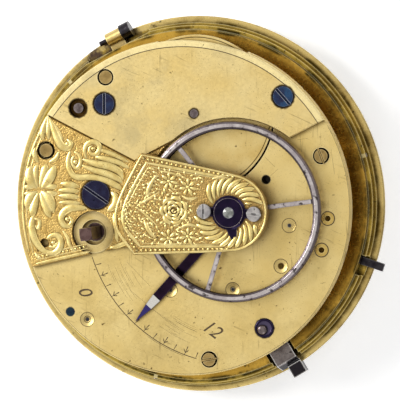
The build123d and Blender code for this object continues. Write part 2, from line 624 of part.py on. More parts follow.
def name_plate():
    low, high = TOP_PLATE_TOP, NAME_PLATE_TOP
    body = bevelled(slab(name_plate_outline(), low, high), PLATE_BEVEL)
    body -= disc(PILLAR_HOLE_RADIUS, low - SLACK, high + SLACK, PILLARS_AT[0])
    body -= pillar_pin_pocket(PILLARS_AT[0])
    body -= disc(BARREL_PIVOT_RADIUS + FIT, low - SLACK, high + SLACK, BARREL_AT)
    body -= disc(NAME_PLATE_PIN_HOLE, low - SLACK, high + SLACK, NAME_PLATE_PIN_AT)
    for at in NAME_PLATE_SCREWS_AT:
        body -= disc(SCREW_SHANK_RADIUS + FIT, low - SLACK, high + SLACK, at)
        body -= disc(SCREW_HEAD_RADIUS + FIT, high - SCREW_HEAD_HEIGHT, high + SLACK, at)
    return body


def pillar_pin_pocket(at):
    """The room cut in the underside of a plate for a pillar pin."""
    length = 2.4 * PILLAR_END_RADIUS + 2 * SLACK
    width = 2 * PILLAR_PIN_RADIUS + SLACK
    high = TOP_PLATE_TOP + 2 * PILLAR_PIN_RADIUS + 2 * GAP
    return bar(length, width, TOP_PLATE_TOP - SLACK, high, at, heading(CENTRE, at) + 90, start=-length / 2)


def name_plate_screws():
    return [screw(SCREW_HEAD_RADIUS, SCREW_SHANK_RADIUS, TOP_PLATE_LOW, NAME_PLATE_TOP - SCREW_HEAD_HEIGHT,
                  NAME_PLATE_TOP + 0.05, at, slot)
            for at, slot in zip(NAME_PLATE_SCREWS_AT, NAME_PLATE_SCREW_SLOTS)]


# Balance cock and its fittings

def tangent_point(start, centre, radius, side):
    """Where the line from start touches the circle, on its left side (1) or right side (-1)."""
    span = distance(start, centre)
    return polar(radius, heading(centre, start) + side * degrees(acos(radius / span)), centre)


def cock_table_outline():
    top_corner, low_corner = COCK_TABLE_CORNERS
    top_touch = tangent_point(top_corner, BALANCE_AT, COCK_END_RADIUS, -1)
    low_touch = tangent_point(low_corner, BALANCE_AT, COCK_END_RADIUS, 1)
    far_point = polar(COCK_END_RADIUS, heading(COCK_TABLE_LEFT, BALANCE_AT), BALANCE_AT)
    edges = [ThreePointArc(top_corner, COCK_TABLE_LEFT, low_corner), Line(low_corner, low_touch),
             ThreePointArc(low_touch, far_point, top_touch), Line(top_touch, top_corner)]
    return make_face(edges)


def cock_foot_outline():
    outer, inner = JOINT_LINE
    joint = heading(inner, outer)
    far = NAME_PLATE_RADIUS + 3
    start = polar(JOINT_GAP, joint + 90, inner)
    lower_outer, lower_inner = COCK_LOWER_LINE
    lower_far = polar(far, heading(lower_inner, lower_outer), lower_inner)
    neck_low = (COCK_TABLE_CORNERS[1][0] + 0.1, COCK_TABLE_CORNERS[1][1] + 0.1)
    blank = polygon(start, polar(far, joint, start), (-far, far), lower_far, lower_inner, neck_low,
                    BALANCE_AT,
                    (BALANCE_AT[0], start[1]))
    return (blank & Circle(NAME_PLATE_RADIUS)) - round_face(COCK_NECK_RADIUS, BALANCE_AT)


def balance_cock():
    low, high = TOP_PLATE_TOP, NAME_PLATE_TOP
    table_low = COCK_TABLE_TOP - COCK_TABLE_THICKNESS
    foot = bevelled(slab(cock_foot_outline(), low, high), PLATE_BEVEL)
    neck_outline = (cock_table_outline() - round_face(COCK_NECK_RADIUS, BALANCE_AT)) & cock_foot_outline()
    neck = slab(neck_outline, high, table_low)
    table = bevelled(slab(cock_table_outline(), table_low, COCK_TABLE_TOP), PLATE_BEVEL)
    body = foot + neck + table
    body -= disc(FUSEE_BUSH_RADIUS + SLACK, low - SLACK, high + SLACK, FUSEE_AT)
    body -= disc(COCK_PILLAR_HOLE_RADIUS, low - SLACK, high + SLACK, PILLARS_AT[1])
    body -= pillar_pin_pocket(PILLARS_AT[1])
    body -= disc(COCK_STEADY_HOLE_RADIUS, low - SLACK, high + SLACK, COCK_STEADY_HOLE_AT)
    body -= disc(SCREW_SHANK_RADIUS + FIT, low - SLACK, high + SLACK, COCK_SCREW_AT)
    body -= disc(BIG_SCREW_HEAD_RADIUS + FIT, high - SCREW_HEAD_HEIGHT, high + SLACK, COCK_SCREW_AT)
    body -= disc(PIVOT_RADIUS + FIT, table_low - SLACK, COCK_TABLE_TOP + SLACK, BALANCE_AT)
    for at in CAP_SCREWS_AT:
        body -= disc(CAP_SCREW_SHANK, table_low - SLACK, COCK_TABLE_TOP + SLACK, at)
    return body


def cock_screw():
    return screw(BIG_SCREW_HEAD_RADIUS, SCREW_SHANK_RADIUS, TOP_PLATE_LOW,
                 NAME_PLATE_TOP - SCREW_HEAD_HEIGHT,
                 NAME_PLATE_TOP + 0.1, COCK_SCREW_AT, COCK_SCREW_SLOT)


def cap_setting():
    """The domed steel cap that holds the endstone, with ears under the two screws and a short tail."""
    low, high = COCK_TABLE_TOP, COCK_TABLE_TOP + CAP_THICKNESS
    crown = [(0, low), (CAP_RADIUS, low), (CAP_RADIUS, low + 0.2), (CAP_RADIUS - 0.3, high), (0, high)]
    ear_top = low + CAP_EAR_THICKNESS
    ears = bar(2 * CAP_SCREW_ORBIT, 1.1, low, ear_top, BALANCE_AT, CAP_SCREW_ANGLE, start=-CAP_SCREW_ORBIT)
    body = turned(crown, BALANCE_AT) + ears
    for at in CAP_SCREWS_AT:
        body += disc(0.6, low, ear_top, at)
        body -= disc(CAP_SCREW_SHANK + FIT, low - SLACK, high + SLACK, at)
    base, tip = CAP_RADIUS - 0.2, CAP_RADIUS + CAP_TAIL_REACH
    tail = polygon(polar(base, CAP_TAIL_ANGLE - 22, BALANCE_AT), polar(tip - 0.2, CAP_TAIL_ANGLE - 7, BALANCE_AT),
                   polar(tip, CAP_TAIL_ANGLE, BALANCE_AT), polar(tip - 0.2, CAP_TAIL_ANGLE + 7, BALANCE_AT),
                   polar(base, CAP_TAIL_ANGLE + 22, BALANCE_AT))
    body += slab(tail, low, ear_top)
    return body - disc(ENDSTONE_RADIUS, low - SLACK, high + SLACK, BALANCE_AT)


def endstone():
    low, high = COCK_TABLE_TOP, COCK_TABLE_TOP + CAP_THICKNESS
    profile = [(0, low + 0.1), (ENDSTONE_RADIUS, low + 0.1), (ENDSTONE_RADIUS, high),
               (ENDSTONE_RADIUS - 0.3, high + 0.15), (0, high + 0.2)]
    return turned(profile, BALANCE_AT)


def cap_screws():
    low, high = COCK_TABLE_TOP - COCK_TABLE_THICKNESS, COCK_TABLE_TOP + CAP_EAR_THICKNESS
    return [screw(CAP_SCREW_RADIUS, CAP_SCREW_SHANK, low, high, high + 0.35, at, slot)
            for at, slot in zip(CAP_SCREWS_AT, CAP_SCREW_SLOTS)]


def plate_plugs():
    bodies = []
    for at in PLUGS_AT:
        plug = disc(PLUG_RADIUS, TOP_PLATE_LOW, TOP_PLATE_TOP, at)
        bodies.append(plug - disc(0.35, TOP_PLATE_TOP - 0.7, TOP_PLATE_TOP + SLACK, at))
    return bodies


def blued_screw():
    return screw(BLUED_SCREW_RADIUS - FIT, SCREW_SHANK_RADIUS, TOP_PLATE_LOW,
                 TOP_PLATE_TOP - BLUED_SCREW_HEAD,
                 TOP_PLATE_TOP - 0.05, BLUED_SCREW_AT, 20)


def fusee_bush():
    body = disc(FUSEE_BUSH_RADIUS, TOP_PLATE_LOW, TOP_PLATE_TOP + 0.25, FUSEE_AT)
    body -= disc(FUSEE_BUSH_BORE, FUSEE_PIVOT_TOP, TOP_PLATE_TOP + 1, FUSEE_AT)
    return body - disc(FUSEE_PIVOT_RADIUS + FIT, TOP_PLATE_LOW - SLACK, FUSEE_PIVOT_TOP + SLACK, FUSEE_AT)


def steel_pins():
    bodies = [edge_pin(angle, EDGE_PIN_RADIUS) for angle in EDGE_PIN_ANGLES]
    bodies.append(disc(NAME_PLATE_PIN_RADIUS, TOP_PLATE_LOW, NAME_PLATE_TOP - 0.2, NAME_PLATE_PIN_AT))
    return bodies


# Case joint, bolt and stop lever

def tangent_rod(radius, start, end):
    """A rod along the joint's axis, from start to end to the left of the joint seen from the middle."""
    rod = Cylinder(radius, end - start, align=(Align.CENTER, Align.CENTER, Align.MIN))
    place = Rot(0, 0, JOINT_ANGLE) * Pos(JOINT_RADIUS, start, JOINT_HEIGHT) * Rot(-90, 0, 0)
    return place * rod


def joint_knuckle():
    half = KNUCKLE_LENGTH / 2
    body = tangent_rod(KNUCKLE_RADIUS, -half, half)
    web = rim_cut(KNUCKLE_LENGTH, PILLAR_PLATE_RADIUS + 2 * FIT, JOINT_RADIUS, JOINT_SEAT, JOINT_HEIGHT,
                  JOINT_ANGLE)
    return body + web - tangent_rod(JOINT_PIN_RADIUS + FIT, -half - SLACK, half + SLACK)


def joint_pin():
    half = KNUCKLE_LENGTH / 2
    head_start = -half - GAP - JOINT_HEAD_LENGTH
    shaft = tangent_rod(JOINT_PIN_RADIUS, -half - GAP, half + GAP)
    shaft += tangent_rod(JOINT_PIN_END_RADIUS, half, half + GAP + JOINT_PIN_END)
    return shaft + tangent_rod(JOINT_HEAD_RADIUS, head_start, -half - GAP)


def bolt():
    """The sliding case bolt: a block in the plate's notch, a nub outside it and a tail under the plate."""
    block_top = PILLAR_PLATE_TOP - 0.3
    block = rim_cut(BOLT_WIDTH, BOLT_BLOCK_INNER, BOLT_BLOCK_OUTER, BOLT_LOW, block_top, BOLT_ANGLE)
    bevel_edge = polygon((BOLT_BLOCK_OUTER, BOLT_LOW), (BOLT_BLOCK_OUTER + 0.7, BOLT_LOW),
                         (BOLT_BLOCK_OUTER + 0.7, BOLT_LOW + 0.9), (BOLT_BLOCK_OUTER, block_top))
    bevel = extrude(Plane.XZ * bevel_edge, BOLT_WIDTH / 2, both=True)
    block += Rot(0, 0, BOLT_ANGLE) * bevel
    nub_start = BOLT_BLOCK_OUTER + 0.6
    nub = rim_cut(BOLT_NUB_WIDTH, nub_start, nub_start + BOLT_NUB_LENGTH + 0.1, BOLT_LOW, BOLT_LOW + 1.3,
                  BOLT_ANGLE, BOLT_NUB_OFFSET)
    tail = rim_cut(BOLT_TAIL_WIDTH, BOLT_TAIL_INNER, BOLT_BLOCK_INNER + 0.1, BOLT_LOW,
                   PILLAR_PLATE_LOW - GAP, BOLT_ANGLE)
    return block + nub + tail


def bolt_spring():
    """A curved leaf from its screw foot to the end of the bolt's tail."""
    high = PILLAR_PLATE_LOW - GAP
    low = high - BOLT_SPRING_HEIGHT
    foot_angle = BOLT_ANGLE - BOLT_SPRING_SPREAD
    inner, outer = BOLT_SPRING_ORBIT - BOLT_SPRING_WIDTH / 2, BOLT_SPRING_ORBIT + BOLT_SPRING_WIDTH / 2
    tip = BOLT_ANGLE + 3
    middle = (foot_angle + tip) / 2
    edges = [ThreePointArc(polar(inner, foot_angle), polar(inner, middle), polar(inner, tip)),
             Line(polar(inner, tip), polar(outer, tip)),
             ThreePointArc(polar(outer, tip), polar(outer, middle), polar(outer, foot_angle)),
             Line(polar(outer, foot_angle), polar(inner, foot_angle))]
    foot = disc(1.3, low, high, BOLT_SPRING_SCREW_AT)
    body = slab(make_face(edges), low, high) + foot
    return body - disc(DIAL_SCREW_SHANK + FIT, low - SLACK, PILLAR_PLATE_LOW + SLACK, BOLT_SPRING_SCREW_AT)


def stop_lever():
    """A flat steel lever on the dial side, pivoted on its screw, whose tip reaches out through the edge."""
    length = STOP_LEVER_REACH - STOP_LEVER_PIVOT
    body = bar(length, STOP_LEVER_WIDTH, STOP_LEVER_LOW, STOP_LEVER_HIGH, STOP_LEVER_AT, STOP_LEVER_ANGLE)
    body += disc(1.1, STOP_LEVER_LOW, STOP_LEVER_HIGH, STOP_LEVER_AT)
    return body - disc(DIAL_SCREW_SHANK + FIT, STOP_LEVER_LOW - SLACK, STOP_LEVER_HIGH + SLACK,
                       STOP_LEVER_AT)


def dial_side_screws():
    bodies = []
    for at, face in DIAL_SIDE_SCREWS:
        head = disc(DIAL_SCREW_HEAD, face - 0.35, face, at)
        shank = disc(DIAL_SCREW_SHANK, face, PILLAR_PLATE_LOW + DIAL_SCREW_DEPTH - SLACK, at)
        slot = bar(2 * DIAL_SCREW_HEAD, 0.22, face - 0.45, face - 0.2, at, 30, start=-DIAL_SCREW_HEAD)
        bodies.append(head + shank - slot)
    return bodies


# Barrel, mainspring and set-up work

def barrel_drum():
    low = BARREL_LOW
    wall_top = BARREL_TOP - BARREL_LID_THICKNESS
    body = disc(BARREL_DRUM_RADIUS, low, wall_top, BARREL_AT) + disc(BARREL_RIM_RADIUS, low, low + 0.4,
                                                                     BARREL_AT)
    body -= disc(BARREL_DRUM_RADIUS - BARREL_WALL, low + BARREL_FLOOR, wall_top + SLACK, BARREL_AT)
    return body - disc(BARREL_LOWER_PIVOT_RADIUS + FIT, low - SLACK, low + 1, BARREL_AT)


def barrel_lid():
    low = BARREL_TOP - BARREL_LID_THICKNESS
    return ring(BARREL_LID_RADIUS, BARREL_ARBOR_NECK_RADIUS + FIT, low, BARREL_TOP, BARREL_AT)


def barrel_arbor():
    floor_top = BARREL_LOW + BARREL_FLOOR + GAP
    lid_low = BARREL_TOP - BARREL_LID_THICKNESS - GAP
    square_low, square_top = RATCHET_WHEEL_LOW - 0.35, PILLAR_PLATE_LOW - GAP
    profile = [(0, square_top), (BARREL_LOWER_PIVOT_RADIUS, square_top),
               (BARREL_LOWER_PIVOT_RADIUS, floor_top),
               (BARREL_ARBOR_RADIUS, floor_top), (BARREL_ARBOR_RADIUS, lid_low),
               (BARREL_ARBOR_NECK_RADIUS, lid_low), (BARREL_ARBOR_NECK_RADIUS, TOP_PLATE_TOP - GAP),
               (BARREL_PIVOT_RADIUS, TOP_PLATE_TOP - GAP), (BARREL_PIVOT_RADIUS, NAME_PLATE_TOP - 0.05),
               (0, NAME_PLATE_TOP - 0.05)]
    square = slab(Pos(*BARREL_AT) * Rectangle(SET_UP_SQUARE, SET_UP_SQUARE), square_low, square_top + SLACK)
    return turned(profile, BARREL_AT) + square


def mainspring():
    """The mainspring, part wound, from the arbor out to its hook in the barrel wall."""
    wall = BARREL_DRUM_RADIUS - BARREL_WALL
    outer = wall - GAP - MAINSPRING_THICKNESS / 2
    inner = BARREL_ARBOR_RADIUS + GAP + MAINSPRING_THICKNESS / 2
    low = BARREL_LOW + BARREL_FLOOR + SLACK
    high = BARREL_TOP - BARREL_LID_THICKNESS - SLACK
    body = spiral_strip(BARREL_AT, inner, outer, MAINSPRING_TURNS, MAINSPRING_THICKNESS, low, high, 0, 1)
    hook = bar(wall - outer, 0.6, low, high, BARREL_AT, 0, start=outer, aside=-0.3)
    return body + (hook & disc(wall, low, high, BARREL_AT))


def spiral_strip(at, inner, outer, turns, thickness, low, high, end_angle, sense):
    """A flat spiral strip of half-turn arcs, growing from inner to outer and ending at the end angle.

    It grows anticlockwise with sense 1 and clockwise with sense -1, and its last half turn is round.
    """
    halves = 2 * turns
    sides = []
    for offset in (-thickness / 2, thickness / 2):
        arcs = []
        for half in range(halves):
            begin = inner + (outer - inner) * half / (halves - 1) + offset
            finish = inner + (outer - inner) * min(half + 1, halves - 1) / (halves - 1) + offset
            angle = end_angle - sense * 180 * (halves - half)
            first, last = polar(begin, angle, at), polar(finish, angle + 180, at)
            centre = ((first[0] + last[0]) / 2, (first[1] + last[1]) / 2)
            middle = polar((begin + finish) / 2, angle + sense * 90, centre)
            arcs.append(ThreePointArc(first, middle, last))
        sides.append(arcs)
    inner_side, outer_side = sides
    edges = inner_side + outer_side
    edges.append(Line(inner_side[0] @ 0, outer_side[0] @ 0))
    edges.append(Line(inner_side[-1] @ 1, outer_side[-1] @ 1))
    return slab(make_face(edges), low, high)


def set_up_ratchet():
    low = RATCHET_WHEEL_LOW
    outline = saw_toothed(20, RATCHET_WHEEL_RADIUS, RATCHET_WHEEL_ROOT, CLICK_BEAK_ANGLE - 2, BARREL_AT)
    body = slab(outline, low, low + 0.6)
    return body - slab(Pos(*BARREL_AT) * Rectangle(SET_UP_SQUARE + 2 * FIT, SET_UP_SQUARE + 2 * FIT),
                       low - SLACK,
                       low + 1)


def saw_toothed(teeth, tip_radius, root_radius, phase, at):
    """A ratchet outline: each tooth has one radial face and one sloping back."""
    step = 360 / teeth
    points = []
    for tooth in range(teeth):
        angle = phase + tooth * step
        points += [polar(tip_radius, angle, at), polar(root_radius, angle + 0.04 * step, at)]
    return polygon(*points)


def set_up_click():
    """The click: a pivoted steel pawl whose beak lies in a gap of the ratchet."""
    low = RATCHET_WHEEL_LOW + GAP
    high = PILLAR_PLATE_LOW - GAP
    beak = polar(RATCHET_WHEEL_ROOT + 0.07, CLICK_BEAK_ANGLE, BARREL_AT)
    direction = heading(CLICK_AT, beak)
    side_a, side_b = polar(0.75, direction + 90, CLICK_AT), polar(0.4, direction - 90, CLICK_AT)
    body = slab(polygon(side_a, side_b, beak), low, high) + disc(1.0, low, high, CLICK_AT)
    return body - disc(DIAL_SCREW_SHANK + FIT, low - SLACK, high + SLACK, CLICK_AT)


# Fusee, great wheel, chain and stop work


def great_wheel():
    body = wheel(toothed(GREAT_TEETH, GREAT_MODULE, WHEEL_FORM, tooth_at(GREAT_TO_CENTRE + 180)),
                 GREAT_WHEEL_LOW,
                 GREAT_WHEEL_THICKNESS, FUSEE_AT)
    return body - disc(FUSEE_ARBOR_RADIUS + FIT, GREAT_WHEEL_LOW - 1, GREAT_WHEEL_TOP + 1, FUSEE_AT)


def maintaining_ratchet():
    outline = saw_toothed(60, MAINTAINING_RADIUS, MAINTAINING_RADIUS - 0.3, 0, FUSEE_AT)
    body = slab(outline, RATCHET_LOW, RATCHET_LOW + RATCHET_THICKNESS)
    return body - disc(FUSEE_ARBOR_RADIUS + FIT, RATCHET_LOW - SLACK, RATCHET_LOW + 1, FUSEE_AT)


def cone_radius(height):
    """The radius of the fusee at a share of its height, falling along a hyperbola."""
    return 1 / (1 / CONE_BASE_RADIUS + (1 / CONE_TOP_RADIUS - 1 / CONE_BASE_RADIUS) * height)


def fusee_cone():
    """The fusee body, with the stop snail on its top."""
    base, waist, top = [(cone_radius(share), CONE_LOW + CONE_HEIGHT * share) for share in (0.06, 0.5, 1)]
    skirt = (CONE_BASE_RADIUS + 0.35, CONE_LOW)
    skirt_top = (CONE_BASE_RADIUS + 0.35, base[1])
    edges = [Line((FUSEE_ARBOR_RADIUS, CONE_LOW), skirt), Line(skirt, skirt_top), Line(skirt_top, base),
             ThreePointArc(base, waist, top), Line(top, (FUSEE_ARBOR_RADIUS, top[1])),
             Line((FUSEE_ARBOR_RADIUS, top[1]), (FUSEE_ARBOR_RADIUS, CONE_LOW))]
    body = Pos(*FUSEE_AT) * revolve(Plane.XZ * make_face(edges), Axis.Z)
    snail_low = CONE_LOW + CONE_HEIGHT
    snail = disc(SNAIL_RADIUS, snail_low, snail_low + SNAIL_THICKNESS, FUSEE_AT)
    snail += bar(SNAIL_NOSE_RADIUS, 1.0, snail_low, snail_low + SNAIL_THICKNESS, FUSEE_AT, SNAIL_ANGLE)
    return body + (snail - disc(FUSEE_ARBOR_RADIUS, snail_low - SLACK, snail_low + 1, FUSEE_AT))


def fusee_arbor():
    square_low = FUSEE_PIVOT_TOP
    square_top = TOP_PLATE_TOP + WINDING_SQUARE_HEIGHT
    pivot_low = PILLAR_PLATE_LOW + 0.1
    profile = [(0, pivot_low), (FUSEE_PIVOT_RADIUS, pivot_low), (FUSEE_PIVOT_RADIUS, GREAT_WHEEL_LOW - GAP),
               (FUSEE_ARBOR_RADIUS, GREAT_WHEEL_LOW - GAP), (FUSEE_ARBOR_RADIUS, TOP_PLATE_LOW - GAP),
               (FUSEE_PIVOT_RADIUS, TOP_PLATE_LOW - GAP), (FUSEE_PIVOT_RADIUS, square_low), (0, square_low)]
    square = slab(Pos(*FUSEE_AT) * Rot(0, 0, WINDING_SQUARE_ANGLE) * Rectangle(WINDING_SQUARE,
                                                                               WINDING_SQUARE),
                  square_low, square_top)
    tip = turned([(0, square_low), (FUSEE_PIVOT_RADIUS, square_low),
                  (FUSEE_PIVOT_RADIUS, square_top - 0.35),
                  (FUSEE_PIVOT_RADIUS - 0.35, square_top), (0, square_top)], FUSEE_AT)
    return turned(profile, FUSEE_AT) + (square & tip)


def chain_route():
    """Points along the chain's lower edge, from its hook on the barrel to its hook on the fusee."""
    barrel_orbit = BARREL_DRUM_RADIUS + GAP + CHAIN_THICKNESS / 2 + 0.02
    meet_height = BARREL_LOW + 0.4 + SLACK + CHAIN_BARREL_TURNS * CHAIN_BARREL_CLIMB
    fusee_orbit = chain_orbit(meet_height)
    span = distance(BARREL_AT, FUSEE_AT)
    leave = heading(BARREL_AT, FUSEE_AT) - degrees(acos((barrel_orbit - fusee_orbit) / span))
    points = []
    steps = round(CHAIN_BARREL_TURNS * 2 * pi * barrel_orbit / CHAIN_PITCH)
    for step in range(steps, -1, -1):
        turns = CHAIN_BARREL_TURNS * step / steps
        x, y = polar(barrel_orbit, leave - turns * 360, BARREL_AT)
        points.append((x, y, meet_height - turns * CHAIN_BARREL_CLIMB))
    start, finish = polar(barrel_orbit, leave, BARREL_AT), polar(fusee_orbit, leave, FUSEE_AT)
    steps = round(distance(start, finish) / CHAIN_PITCH)
    for step in range(1, steps + 1):
        x, y = polar(distance(start, finish) * step / steps, heading(start, finish), start)
        points.append((x, y, meet_height))
    turned_by, height = 0.0, meet_height
    while turned_by < CHAIN_FUSEE_TURNS * 360:
        turned_by += degrees(CHAIN_PITCH / chain_orbit(height))
        height = meet_height - CHAIN_FUSEE_CLIMB * turned_by / 360
        x, y = polar(chain_orbit(height), leave + turned_by, FUSEE_AT)
        points.append((x, y, height))
    return points


def chain_orbit(height):
    """The distance of the chain's middle from the fusee's axis at a height."""
    return cone_radius((height - CONE_LOW) / CONE_HEIGHT) + GAP + CHAIN_THICKNESS / 2 + 0.05


def fusee_chain():
    """The fusee chain as single straight links laid end to end along its route."""
    links = []
    points = chain_route()
    for start, finish in zip(points, points[1:]):
        run = hypot(finish[0] - start[0], finish[1] - start[1])
        height = (start[2] + finish[2]) / 2
        links.append(bar(run - 0.06, CHAIN_THICKNESS, height, height + CHAIN_HEIGHT, start,
                         heading(start, finish), start=0.03))
    return links


def stop_iron_place():
    turn = heading(STOP_IRON_AT, FUSEE_AT)
    return Pos(STOP_IRON_AT[0], STOP_IRON_AT[1], STOP_IRON_HEIGHT) * Rot(0, 0, turn)


def stop_post():
    """The two ears under the top plate between which the fusee stop iron hinges."""
    ears = None
    for side in (-1, 1):
        middle = side * (STOP_IRON_WIDTH / 2 + GAP + 0.15)
        ear = Pos(0, middle, 0) * Box(0.9, 0.3, TOP_PLATE_LOW - STOP_IRON_HEIGHT + 0.35,
                                      align=(Align.CENTER, Align.CENTER, Align.MIN))
        ear = Pos(0, 0, -0.35) * ear
        ears = ear if ears is None else ears + ear
    hole = Rot(90, 0, 0) * Cylinder(STOP_IRON_PIN_RADIUS + FIT, STOP_IRON_WIDTH + 2)
    return stop_iron_place() * (ears - hole)


def stop_iron():
    """The blade that the last turn of chain lifts into the path of the fusee's snail at full wind."""
    length = STOP_IRON_ORBIT - SNAIL_NOSE_RADIUS + 0.6
    blade = Box(length, STOP_IRON_WIDTH, STOP_IRON_THICKNESS, align=(Align.MIN, Align.CENTER, Align.CENTER))
    pin = Rot(90, 0, 0) * Cylinder(STOP_IRON_PIN_RADIUS, STOP_IRON_WIDTH + 0.6)
    return stop_iron_place() * Rot(0, STOP_IRON_TILT, 0) * (blade + pin)


def maintaining_detent():
    """A pawl between the plates that holds the maintaining ratchet while the watch is wound."""
    low, high = RATCHET_LOW, RATCHET_LOW + RATCHET_THICKNESS
    beak = polar(MAINTAINING_RADIUS + GAP, heading(FUSEE_AT, DETENT_AT) - 18, FUSEE_AT)
    direction = heading(DETENT_AT, beak)
    side_a, side_b = polar(0.4, direction + 90, DETENT_AT), polar(0.4, direction - 90, DETENT_AT)
    body = slab(polygon(side_a, side_b, beak), low, high) + disc(0.7, low, high, DETENT_AT)
    return body + arbor(DETENT_AT, 0.3)


def arbor(at, radius=ARBOR_RADIUS):
    """A plain arbor between the plates with a pivot at each end."""
    profile = [(0, PILLAR_PLATE_LOW + 0.2), (PIVOT_RADIUS, PILLAR_PLATE_LOW + 0.2),
               (PIVOT_RADIUS, PILLAR_PLATE_TOP + GAP), (radius, PILLAR_PLATE_TOP + GAP),
               (radius, TOP_PLATE_LOW - GAP), (PIVOT_RADIUS, TOP_PLATE_LOW - GAP),
               (PIVOT_RADIUS, TOP_PLATE_TOP - OIL_SINK_DEPTH + 0.1), (0,
                                                                      TOP_PLATE_TOP - OIL_SINK_DEPTH + 0.1)]
    return turned(profile, at)


def detent_spring():
    """The blued pin in the top plate with the blade spring it carries for the detent."""
    body = disc(DETENT_PIN_RADIUS, TOP_PLATE_LOW - 0.4, TOP_PLATE_TOP + 0.02, DETENT_PIN_AT)
    blade = bar(2.0, 0.15, TOP_PLATE_LOW - 0.4, TOP_PLATE_LOW - GAP, DETENT_PIN_AT,
                heading(DETENT_PIN_AT, DETENT_AT) + 14)
    return body + blade


# Train from the centre wheel to the escape wheel


def centre_wheel():
    outline = crossed(CENTRE_TEETH, CENTRE_MODULE, tooth_at(CENTRE_TO_THIRD), 0.9, 2.2, 4, 0.9,
                      CENTRE_PIVOT_RADIUS)
    return wheel(outline, CENTRE_WHEEL_LOW, 0.3, CENTRE)


def centre_arbor():
    """The centre pinion and its arbor, which runs on through the dial to the hand square."""
    leaves = pinion(CENTRE_LEAVES, GREAT_MODULE, gap_at(GREAT_TO_CENTRE, CENTRE_LEAVES),
                    CENTRE_WHEEL_LOW + 0.3, GREAT_WHEEL_TOP + 0.1, CENTRE)
    profile = [(0, HAND_SQUARE_LOW + 1.0), (CANNON_BORE, HAND_SQUARE_LOW + 1.0),
               (CANNON_BORE, CANNON_HIGH + GAP),
               (CENTRE_PIVOT_RADIUS, CANNON_HIGH + GAP), (CENTRE_PIVOT_RADIUS, CENTRE_WHEEL_LOW + 0.3),
               (0.7, CENTRE_WHEEL_LOW + 0.3), (0.7, TOP_PLATE_LOW - GAP), (CENTRE_TOP_PIVOT_RADIUS,
                                                                           TOP_PLATE_LOW - GAP),
               (CENTRE_TOP_PIVOT_RADIUS, TOP_PLATE_TOP - 0.1), (0, TOP_PLATE_TOP - 0.1)]
    square = slab(Rectangle(HAND_SQUARE, HAND_SQUARE), HAND_SQUARE_LOW, HAND_SQUARE_LOW + 1.1)
    return leaves + turned(profile) + square


def third_wheel():
    outline = crossed(THIRD_TEETH, THIRD_MODULE, tooth_at(THIRD_TO_FOURTH), 0.7, 1.3, 4, 0.55, ARBOR_RADIUS)
    return wheel(outline, THIRD_WHEEL_LOW, WHEEL_THICKNESS, THIRD_AT)


def third_arbor():
    low = PILLAR_PLATE_TOP - SINK_DEPTH + SLACK
    leaves = pinion(THIRD_LEAVES, CENTRE_MODULE, gap_at(CENTRE_TO_THIRD + 180, THIRD_LEAVES), low,
                    PILLAR_PLATE_TOP + 0.1, THIRD_AT)
    profile = [(0, PILLAR_PLATE_LOW + 0.1), (PIVOT_RADIUS, PILLAR_PLATE_LOW + 0.1), (PIVOT_RADIUS, low),
               (ARBOR_RADIUS, low), (ARBOR_RADIUS, TOP_PLATE_LOW - GAP), (PIVOT_RADIUS,
                                                                          TOP_PLATE_LOW - GAP),
               (PIVOT_RADIUS, TOP_PLATE_TOP - OIL_SINK_DEPTH + 0.1), (0,
                                                                      TOP_PLATE_TOP - OIL_SINK_DEPTH + 0.1)]
    return leaves + turned(profile, THIRD_AT)


def fourth_wheel():
    outline = crossed(FOURTH_TEETH, FOURTH_MODULE, tooth_at(FOURTH_TO_ESCAPE), 0.6, 1.2, 4, 0.5,
                      ARBOR_RADIUS)
    return wheel(outline, FOURTH_WHEEL_LOW, WHEEL_THICKNESS, FOURTH_AT)


def fourth_arbor():
    """The fourth pinion on its arbor, whose lower end runs on through the dial to carry the seconds hand."""
    leaves = pinion(FOURTH_LEAVES, THIRD_MODULE, gap_at(THIRD_TO_FOURTH + 180, FOURTH_LEAVES),
                    THIRD_WHEEL_LOW - 0.1, THIRD_WHEEL_LOW + WHEEL_THICKNESS + 0.15, FOURTH_AT)
    profile = [(0, SECONDS_HAND_LOW), (SECONDS_ARBOR_RADIUS, SECONDS_HAND_LOW),
               (SECONDS_ARBOR_RADIUS, PILLAR_PLATE_TOP + GAP), (ARBOR_RADIUS, PILLAR_PLATE_TOP + GAP),
               (ARBOR_RADIUS, TOP_PLATE_LOW - GAP), (PIVOT_RADIUS, TOP_PLATE_LOW - GAP),
               (PIVOT_RADIUS, TOP_PLATE_TOP - OIL_SINK_DEPTH + 0.1), (0,
                                                                      TOP_PLATE_TOP - OIL_SINK_DEPTH + 0.1)]
    return leaves + turned(profile, FOURTH_AT)


# Escapement and balance

def escape_wheel():
    """The escape wheel with its pointed teeth, its pinion and its arbor."""
    step = 360 / ESCAPE_TEETH
    points = []
    for tooth in range(ESCAPE_TEETH):
        angle = tooth * step
        points += [polar(ESCAPE_RADIUS, angle), polar(ESCAPE_RADIUS, angle + 0.06 * step),
                   polar(ESCAPE_RADIUS - 1.1, angle + 0.42 * step), polar(ESCAPE_RADIUS - 1.1,
                                                                          angle + 0.85 * step)]
    windows = Circle(ESCAPE_RADIUS - 1.6) - Circle(1.0)
    for arm in range(4):
        windows -= Rot(0, 0, 90 * arm) * Pos(2, 0) * Rectangle(4, 0.45)
    body = wheel(polygon(*points) - windows, ESCAPE_WHEEL_LOW, WHEEL_THICKNESS, ESCAPE_AT)
    body += pinion(ESCAPE_LEAVES, FOURTH_MODULE, gap_at(FOURTH_TO_ESCAPE + 180, ESCAPE_LEAVES),
                   FOURTH_WHEEL_LOW - 0.1, FOURTH_WHEEL_LOW + WHEEL_THICKNESS + 0.1, ESCAPE_AT)
    return body + arbor(ESCAPE_AT)


